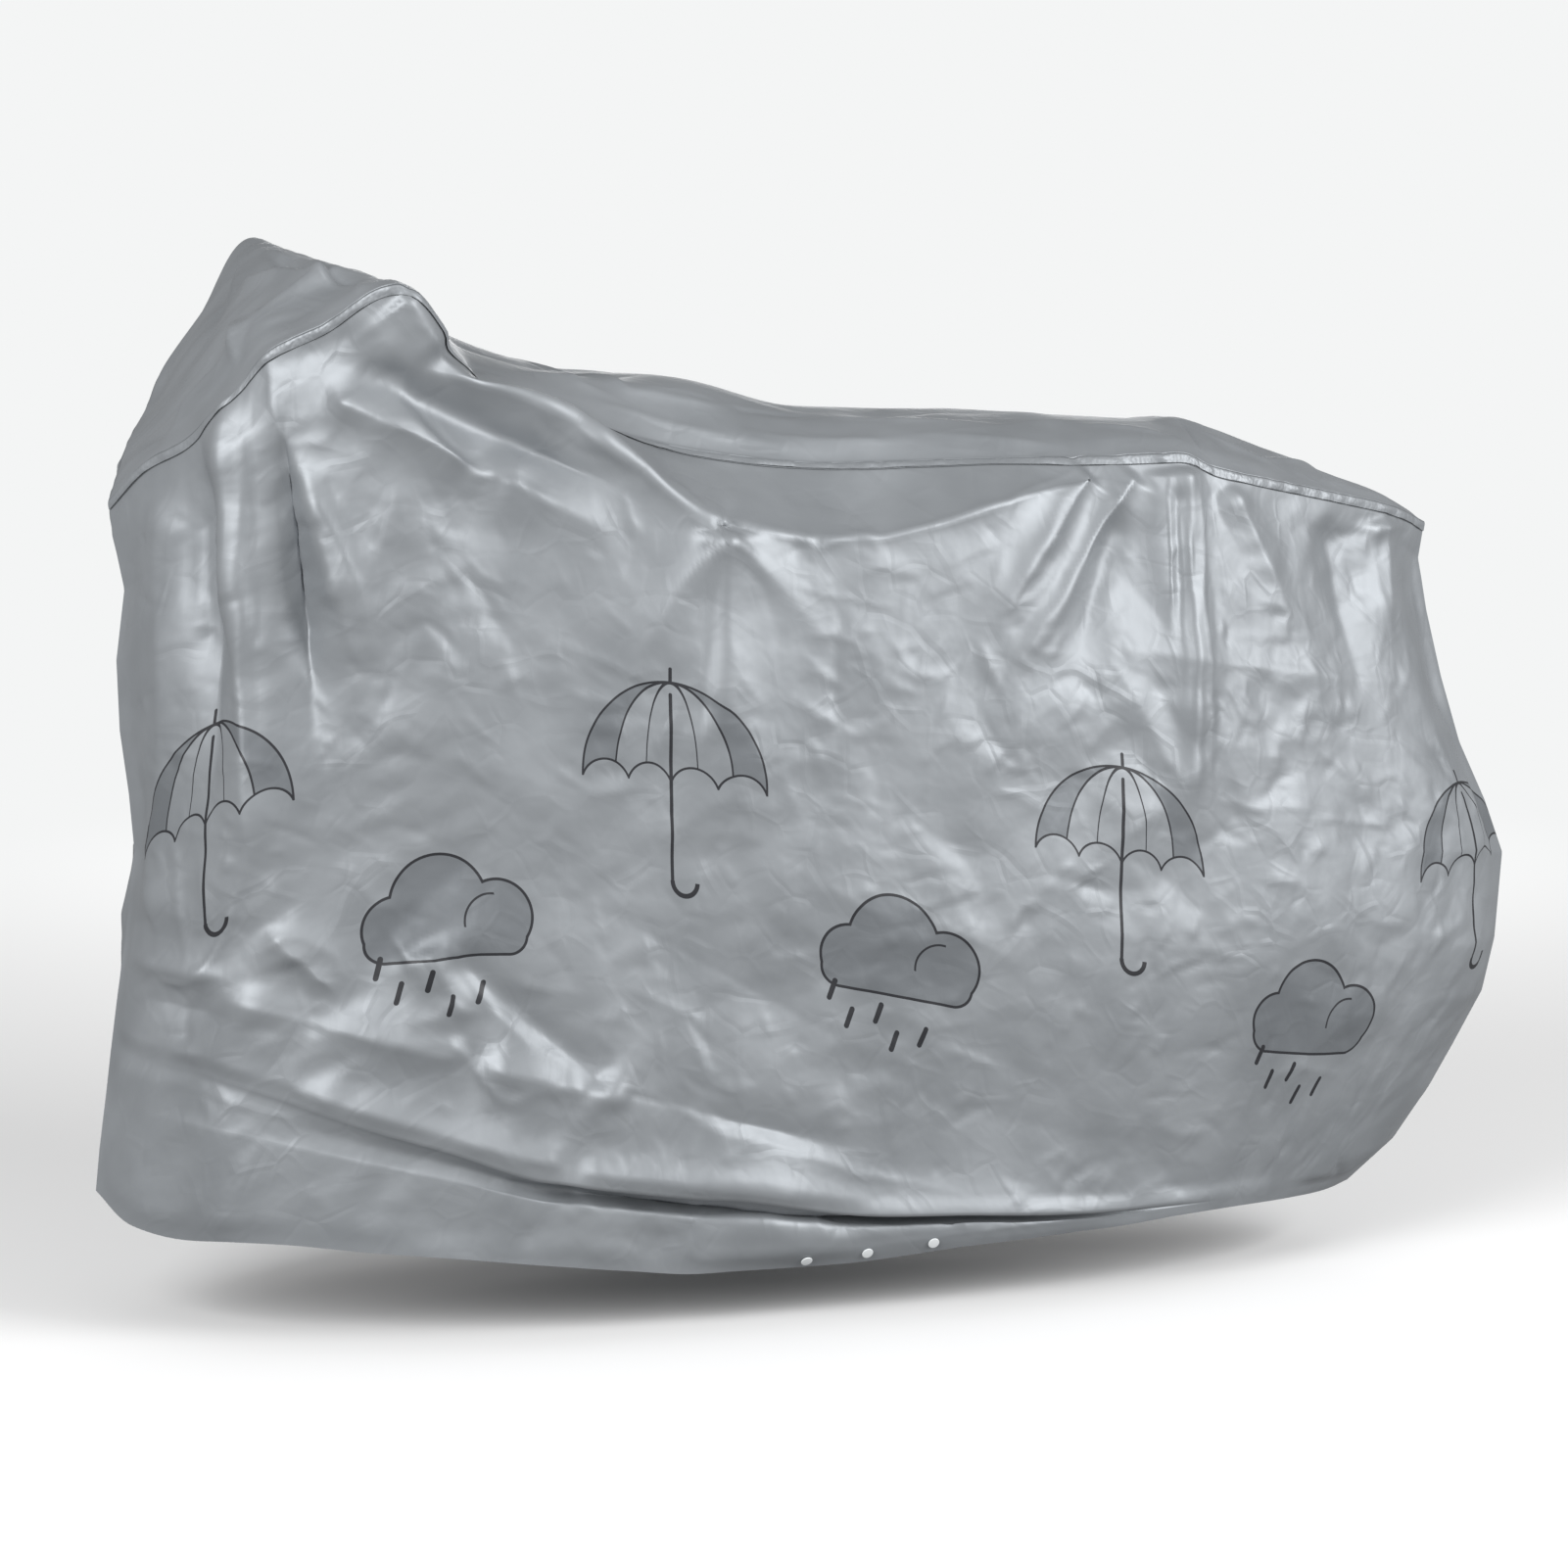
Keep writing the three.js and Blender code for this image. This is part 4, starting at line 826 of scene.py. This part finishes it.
near_place, along = even_places(NEAR_COLUMNS, -1)
down, inwards = near_rows(near_place[:, None], NEAR_UPPER_ROWS, NEAR_LOWER_ROWS, NEAR_TUCK_ROWS)
near_points = side_points(near_place[:, None], down, inwards, -1, near_folds)
near_v = run_lengths(side_points(near_place[:, None], down, inwards, -1, []))
near_u = np.broadcast_to(along[:, None], near_v.shape)
near_print = print_down(near_points, near_v)
near_rise = crumple(near_u, near_print, seed=3)
near_rise += crease_rise(stray_creases(900, seed=5, lean=pull_lean), near_u, near_print)
near_rise = near_rise * edge_calm(near_u, near_v, EDGE_CALM)
strayed_u = near_u + CREASE_STRAY * waves(near_u, near_v, CREASE_STRAY_SIZE, seed=60)
strayed_v = near_v + CREASE_STRAY * waves(near_u, near_v, CREASE_STRAY_SIZE, seed=61)
placed_rise = NEAR_CREASES * crease_rise(near_creases, strayed_u, strayed_v)
near_rise += placed_rise * edge_calm(near_u, near_v, WELD_CALM)
lip_row = NEAR_UPPER_ROWS + NEAR_LOWER_ROWS
near_rise *= smoothstep(np.abs(near_v - near_v[:, lip_row:lip_row + 1]) / LIP_CALM)
in_strip = np.clip(1 - (near_v[:, -1:] - near_v) / SNAP_STRIP, 0, 1)
along_strip = smoothstep((near_u - SNAP_STRIP_FROM) / SNAP_STRIP_FADE)
along_strip = along_strip * smoothstep((SNAP_STRIP_TO - near_u) / SNAP_STRIP_FADE)
near_rise -= SNAP_STRIP_LEAN * in_strip * along_strip
near_points = near_points + grid_normals(near_points) * near_rise[..., None] - origin
near_side_film = film_sheet("near_side_film", near_points, np.stack([near_u, near_print], -1), False)
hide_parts("near_side_panel")


# Far side panel.
# The same length of film on the side away from the camera, with a plain hem all along. The
# photograph doesn't show it, so its creases are scattered as on film that came from one pack.

far_folds = table(fold_columns, [
    (-0.64, 0.95, -0.625, 0.42, 0.03, 0.02, 0.1, 0.4),
    (-0.59, 0.94, -0.56, 0.48, 0.034, -0.02, 0.2, 0.4),
    (-0.486, 1.12, -0.33, 0.7, 0.034, 0.016, 0.05, 0.5),
    (-0.486, 1.12, -0.44, 0.56, 0.03, 0.014, 0.05, 0.5),
    (-0.486, 1.12, -0.23, 0.9, 0.028, 0.014, 0.05, 0.5),
    (-0.4, 0.9, -0.33, 0.43, 0.04, -0.014, 0.3, 0.4),
    (-0.137, 0.87, -0.15, 0.43, 0.036, 0.014, 0.1, 0.6),
    (0.02, 0.82, 0.01, 0.42, 0.046, -0.012, 0.2, 0.4),
    (0.295, 0.9, 0.17, 0.64, 0.028, 0.014, 0.05, 0.5),
    (0.395, 0.9, 0.4, 0.48, 0.026, 0.014, 0.05, 0.6),
    (0.47, 0.88, 0.56, 0.62, 0.034, -0.012, 0.2, 0.5),
    (0.69, 0.84, 0.68, 0.64, 0.026, 0.012, 0.1, 0.5),
    (-0.6, 0.33, -0.15, 0.24, 0.036, 0.014, 0.3, 0.3),
    (0.1, 0.35, 0.48, 0.3, 0.04, 0.012, 0.3, 0.3),
])
FAR_COLUMNS, FAR_ROWS, FAR_CRUMPLE = 300, 170, 1.1

rows = np.linspace(0, 1, FAR_ROWS)[None, :]
far_place, along = even_places(FAR_COLUMNS, 1)
far_points = side_points(far_place[:, None], rows, np.zeros(1), 1, far_folds)
far_v = run_lengths(side_base(far_place[:, None], rows * np.ones((FAR_COLUMNS, 1)), 1))
far_u = np.broadcast_to(along[:, None], far_v.shape)
far_print = print_down(far_points, far_v)
far_rise = crumple(far_u, far_print, seed=200, slope=FAR_CRUMPLE)
far_rise += crease_rise(stray_creases(700, seed=15, lean=pull_lean), far_u, far_print)
far_rise = far_rise * edge_calm(far_u, far_v, EDGE_CALM)
far_points = far_points - grid_normals(far_points) * far_rise[..., None] - origin
far_side_film = film_sheet("far_side_film", far_points, np.stack([far_u, far_print], -1), True)
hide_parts("far_side_panel")


# Top panel.
# The strip of the same film between the two side panels, from the front corner over the two
# peaks to the rear corner. Its edges lap 11 mm over the side panels, where the heat weld has
# drawn them into small puckers.

top_fold_columns = ("x0", "y0", "x1", "y1", "width", "rise", "fade0", "fade1")
top_folds = table(top_fold_columns, [
    (-0.690, -0.045, -0.605, -0.135, 0.014, 0.012, 0.2, 0.1),
    (-0.615, -0.130, -0.520, -0.175, 0.014, 0.012, 0.1, 0.3),
    (-0.640, 0.02, -0.550, 0.24, 0.016, -0.012, 0.2, 0.2),
    (-0.52, -0.2, -0.56, 0.23, 0.022, 0.012, 0.1, 0.2),
    (-0.42, -0.06, -0.15, -0.03, 0.026, -0.008, 0.2, 0.3),
    (-0.43, 0.12, -0.12, 0.04, 0.024, 0.009, 0.2, 0.4),
    (-0.33, -0.09, -0.06, -0.095, 0.02, 0.007, 0.2, 0.3),
    (0.03, -0.06, 0.27, -0.05, 0.03, -0.007, 0.3, 0.3),
    (0.06, 0.07, 0.33, 0.06, 0.03, -0.007, 0.3, 0.3),
    (0.4, -0.09, 0.64, -0.01, 0.026, 0.006, 0.2, 0.3),
    (0.4, 0.09, 0.64, 0.01, 0.026, 0.006, 0.2, 0.3),
])
CROWN_POWER = 2.4
TOP_FOLD_MARGIN = 0.3


def top_points(place, across):
    """Points of the top panel. across runs from -1 at the near seam to 1 at the far seam."""
    near = side_points(place, np.zeros_like(place), np.zeros(1), -1, near_folds)
    far = side_points(place, np.zeros_like(place), np.zeros(1), 1, far_folds)
    points = near + (far - near) * ((across + 1) / 2)[..., None]
    points[..., 2] += section_value("crown", place) * (1 - np.abs(across) ** CROWN_POWER)
    calm = smoothstep((1 - np.abs(across)) / TOP_FOLD_MARGIN)
    points[..., 2] += fold_rise(top_folds, points[..., 0], points[..., 1], "x", "y") * calm
    return points


# Creases of the top panel, from its near seam. Their points were found in the same way.
top_creases = table(crease_columns, [
    ("front_shelf", 0.010, 0.0065, (
        (0.317, 0.373), (0.317, 0.268), (0.335, 0.204), (0.353, 0.098), (0.375, 0.053))),
    ("front_upright", 0.009, 0.0065, ((0.266, 0.186), (0.229, 0.09), (0.215, 0.049))),
    ("far_ridge", 0.010, 0.0055, ((0.389, 0.53), (0.349, 0.434), (0.302, 0.324))),
    ("under_ridge", 0.010, -0.0055, ((0.368, 0.407), (0.349, 0.21), (0.364, 0.099), (0.386, 0.054))),
    ("shelf_nick", 0.005, 0.0020, ((0.382, 0.058), (0.371, 0.004))),
    ("front_line_1", 0.005, 0.0012, ((0.2, 0.308), (0.211, 0.207), (0.226, 0.122))),
    ("front_line_2", 0.004, 0.0010, ((0.255, 0.076), (0.295, 0.062), (0.328, 0.054))),
    ("front_line_3", 0.004, 0.0010, ((0.247, 0.029), (0.291, 0.022), (0.342, 0.016))),
    ("back_slope_1", 0.006, 0.0024, ((0.575, 0.213), (0.619, 0.164), (0.677, 0.071))),
    ("back_slope_2", 0.006, -0.0024, ((0.462, 0.01), (0.517, 0.069), (0.546, 0.059))),
    ("back_slope_3", 0.006, 0.0020, ((0.593, 0.178), (0.626, 0.073), (0.673, 0.048))),
    ("saddle_1", 0.007, 0.0024, ((0.619, 0.164), (0.677, 0.071), (0.757, 0.069), (0.852, 0.093))),
    ("saddle_2", 0.006, 0.0018, ((0.63, 0.045), (0.71, 0.029), (0.79, 0.022))),
    ("saddle_3", 0.006, -0.0018, ((0.721, 0.073), (0.804, 0.076), (0.906, 0.091))),
    ("saddle_4", 0.005, 0.0016, ((0.793, 0.037), (0.892, 0.03), (0.975, 0.025))),
    ("saddle_5", 0.005, 0.0014, ((0.895, 0.086), (0.99, 0.074), (1.088, 0.064))),
    ("saddle_6", 0.005, 0.0014, ((0.979, 0.038), (1.066, 0.03), (1.154, 0.017))),
    ("rear_top_1", 0.006, 0.0020, ((1.186, 0.071), (1.245, 0.06), (1.299, 0.034))),
    ("rear_top_2", 0.006, 0.0018, ((1.357, 0.085), (1.481, 0.043), (1.674, 0.115))),
    ("rear_top_3", 0.005, -0.0014, ((1.35, 0.107), (1.347, 0.059), (1.343, 0.017))),
])


LAP_ROWS, LAP_LIFT = 5, 0.0012
PUCKER_BASE, PUCKER, PUCKER_LOW = 0.0010, 0.0036, -0.25
PUCKER_SIZES = ((0.011, 1.0), (0.027, 0.6))
LAP_ENDS = 0.6


def weld_lap(place, along, side, film_place, film_points, film_v, seed):
    """Rows of the top panel's edge that lie on a side panel's film, from the seam outwards."""
    steps = np.arange(1, LAP_ROWS + 1)
    reach = LAP * steps / LAP_ROWS
    film = np.concatenate([film_points, -side * grid_normals(film_points)], axis=2)
    under = np.array([[np.interp(reach, v, line) for line in column.T]
                      for v, column in zip(film_v, film)])
    under = np.array([[np.interp(place, film_place, under[:, part, row]) for part in range(6)]
                      for row in range(LAP_ROWS)]).transpose(2, 0, 1)
    points, out = under[..., :3], under[..., 3:]
    flat_down = np.zeros((len(place), LAP_ROWS))
    bulge = np.sin(math.pi * steps / (LAP_ROWS + LAP_ENDS))
    ripple = sum(share * waves(along[:, None], flat_down, size, seed + k)
                 for k, (size, share) in enumerate(PUCKER_SIZES))
    puckers = PUCKER_BASE + PUCKER * np.maximum(ripple, PUCKER_LOW)
    return points + out * (LAP_LIFT + puckers * bulge)[..., None]


# The top panel is plain, so its flat layout lies TOP_LAYOUT down the film, clear of the print.
TOP_COLUMNS, TOP_ROWS, TOP_LAYOUT = 460, 104, 2.0
TOP_STRETCH, TOP_CREASES = 2.2, 1.6

place, along = even_places(TOP_COLUMNS, -1)
across = np.linspace(-1, 1, TOP_ROWS)[None, :]
top_grid = top_points(place[:, None], across * np.ones((TOP_COLUMNS, 1)))
top_u = np.broadcast_to(along[:, None], top_grid.shape[:2])
top_v = run_lengths(top_grid)
top_rise = crumple(top_u, top_v + TOP_LAYOUT, seed=400, stretch=TOP_STRETCH)
top_rise = top_rise * edge_calm(top_u, top_v, EDGE_CALM)
placed_rise = TOP_CREASES * crease_rise(top_creases, top_u, top_v)
top_rise += placed_rise * edge_calm(top_u, top_v, WELD_CALM)
top_grid = top_grid - grid_normals(top_grid) * top_rise[..., None]
near_lap = weld_lap(place, along, -1, near_place, near_points, near_v, seed=700)[:, ::-1]
far_lap = weld_lap(place, along, 1, far_place, far_points, far_v, seed=720)
top_grid = np.concatenate([near_lap, top_grid - origin, far_lap], axis=1)
top_u = np.broadcast_to(along[:, None], top_grid.shape[:2])
top_flat = np.stack([top_u, run_lengths(top_grid) + TOP_LAYOUT], -1)
top_film = film_sheet("top_film", top_grid, top_flat, True, 2)
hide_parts("top_panel")


# Press-snaps.
# Three white moulded snap heads on the near hem, each a low cap with a rounded rim that is
# joined through the film to a socket behind it. They are snapped shut and stay as shown.

snap_plastic = bpy.data.materials.new("white acetal, moulded, smooth")
snap_plastic.use_nodes = True
tree = snap_plastic.node_tree
tree.nodes.clear()
solid = add(tree, "TexCoord").outputs["Object"]
mottle = add(tree, "TexNoise", Vector=solid, Scale=900.0, Detail=1.0)
shade = add(tree, "ValToRGB", Fac=mottle.outputs["Fac"])
shade.color_ramp.elements[0].color = linear("#D9DDDF")
shade.color_ramp.elements[1].color = linear("#E6E9EA")
shader = add(tree, "BsdfPrincipled", Base_Color=shade.outputs["Color"], Roughness=0.3, IOR=1.48)
add(tree, "OutputMaterial", Surface=shader.outputs["BSDF"])

SNAP_RADIUS, SNAP_THICKNESS, SNAP_RIM, SNAP_GAP = 0.00625, 0.0016, 0.0007, 0.0003
FACING = 4


def film_under(place):
    """Foot of a snap head on the highest film behind it, and the way that the film faces."""
    away = np.linalg.norm(near_points - np.array(place), axis=2)
    column, row = np.unravel_index(int(np.argmin(away)), away.shape)
    around = near_points[column - FACING:column + FACING + 1, row - FACING:row + FACING + 1]
    outwards = Vector(grid_normals(around).mean((0, 1))).normalized()
    offsets = near_points - np.array(place)
    heights = offsets @ np.array(outwards)
    aside = np.linalg.norm(offsets - heights[..., None] * np.array(outwards), axis=2)
    behind = heights[(aside < 1.5 * SNAP_RADIUS) & (away < 2 * SNAP_RADIUS)]
    return place + outwards * behind.max(), outwards


for snap_node in ("snap_front", "snap_middle", "snap_rear"):
    low, high = (Vector(corner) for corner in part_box(snap_node))
    foot, outwards = film_under((low + high) / 2)
    bpy.ops.object.select_all(action="DESELECT")
    bpy.ops.mesh.primitive_cylinder_add(vertices=48, radius=SNAP_RADIUS, depth=SNAP_THICKNESS)
    snap = bpy.context.object
    snap.name = snap_node + "_cap"
    rim = snap.modifiers.new("rim", "BEVEL")
    rim.width = SNAP_RIM
    rim.segments = 4
    rim.limit_method = "ANGLE"
    snap.rotation_euler = outwards.to_track_quat("Z", "Y").to_euler()
    snap.location = foot + outwards * (SNAP_GAP + SNAP_THICKNESS / 2)
    bpy.ops.object.modifier_apply(modifier="rim")
    bpy.ops.object.transform_apply(location=True, rotation=True, scale=True)
    bpy.ops.object.shade_smooth_by_angle(angle=math.radians(35))
    snap.data.materials.append(snap_plastic)
    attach(snap, "root")
    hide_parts(snap_node)


# Studio.
# A pale floor inside a plain white dome, lit by two large soft boxes from the front and a
# weaker one from behind. Neither the floor nor the dome shows in the film's gloss, as with a
# real product table far away.

ground = -origin[2]
DOME_RADIUS, FLOOR_NEAR, FLOOR_FAR = 16.0, 1.4, 4.5

bpy.ops.object.select_all(action="DESELECT")
bpy.ops.mesh.primitive_circle_add(vertices=96, radius=DOME_RADIUS, fill_type="NGON", location=(0, 0, ground))
floor = bpy.context.object
floor.name = "floor"
bpy.ops.mesh.primitive_uv_sphere_add(segments=64, ring_count=32, radius=DOME_RADIUS, location=(0, 0, ground))
dome = bpy.context.object
dome.name = "dome"
dome.visible_shadow = False
glow = bpy.data.materials.new("white studio wall, evenly lit")
glow.use_nodes = True
tree = glow.node_tree
tree.nodes.clear()
wall = add(tree, "Emission", Color=linear("#F4F5F5"), Strength=1.0)
add(tree, "OutputMaterial", Surface=wall.outputs[0])
glow.cycles.emission_sampling = "NONE"
dome.data.materials.append(glow)
paint = bpy.data.materials.new("pale matt studio floor")
paint.use_nodes = True
tree = paint.node_tree
tree.nodes.clear()
spot = add(tree, "TexCoord").outputs["Object"]
away = add(tree, "VectorMath", {"operation": "LENGTH"}, n0=spot).outputs["Value"]
far_share = add(tree, "MapRange", {"interpolation_type": "SMOOTHSTEP"}, Value=away, From_Min=FLOOR_NEAR,
                From_Max=FLOOR_FAR)
near_floor = add(tree, "BsdfDiffuse", Color=linear("#F6F6F6"))
far_floor = add(tree, "Emission", Color=linear("#F4F5F5"), Strength=1.0)
blend = add(tree, "MixShader", n0=far_share.outputs[0], n1=near_floor.outputs[0], n2=far_floor.outputs[0])
add(tree, "OutputMaterial", Surface=blend.outputs[0])
paint.cycles.emission_sampling = "NONE"
floor.data.materials.append(paint)
for backdrop in (floor, dome):
    backdrop.visible_diffuse = False
    backdrop.visible_glossy = False


def soft_light(name, place, aim, size, watts):
    """A square soft box of that size, in metres, at a place and turned to its aim."""
    light = bpy.data.lights.new(name, "AREA")
    light.size = size
    light.energy = watts
    holder = bpy.data.objects.new(name, light)
    bpy.context.scene.collection.objects.link(holder)
    holder.location = place
    holder.rotation_euler = (Vector(aim) - Vector(place)).to_track_quat("-Z", "Y").to_euler()


soft_light("left_box", (-3.5, -2.9, 1.3), (-0.2, 0, -0.35), 2.6, 190)
soft_light("right_box", (3.0, -3.1, 1.3), (0.2, 0, -0.35), 2.6, 205)
soft_light("back_box", (0.9, 4.2, -0.1), (0, 0, -0.5), 2.4, 80)
world = bpy.data.worlds.new("studio white")
world.use_nodes = True
world.node_tree.nodes["Background"].inputs["Color"].default_value = (1, 1, 1, 1)
world.node_tree.nodes["Background"].inputs["Strength"].default_value = 0.35
bpy.context.scene.world = world
bpy.context.scene.view_settings.view_transform = "Standard"

VIEW_TURN, VIEW_RISE, VIEW_DISTANCE, VIEW_FIELD = math.radians(-16), math.radians(7), 5.0, 1.740
VIEW_TARGET = Vector((0, 0, 0.56)) - Vector(origin)
towards = Vector((
    math.sin(VIEW_TURN) * math.cos(VIEW_RISE),
    -math.cos(VIEW_TURN) * math.cos(VIEW_RISE),
    math.sin(VIEW_RISE),
))
lens = bpy.data.cameras.new("camera")
lens.sensor_width = 36
lens.lens = lens.sensor_width * VIEW_DISTANCE / VIEW_FIELD
camera = bpy.data.objects.new("camera", lens)
bpy.context.scene.collection.objects.link(camera)
camera.location = VIEW_TARGET + towards * VIEW_DISTANCE
camera.rotation_euler = (-towards).to_track_quat("-Z", "Y").to_euler()
bpy.context.scene.camera = camera
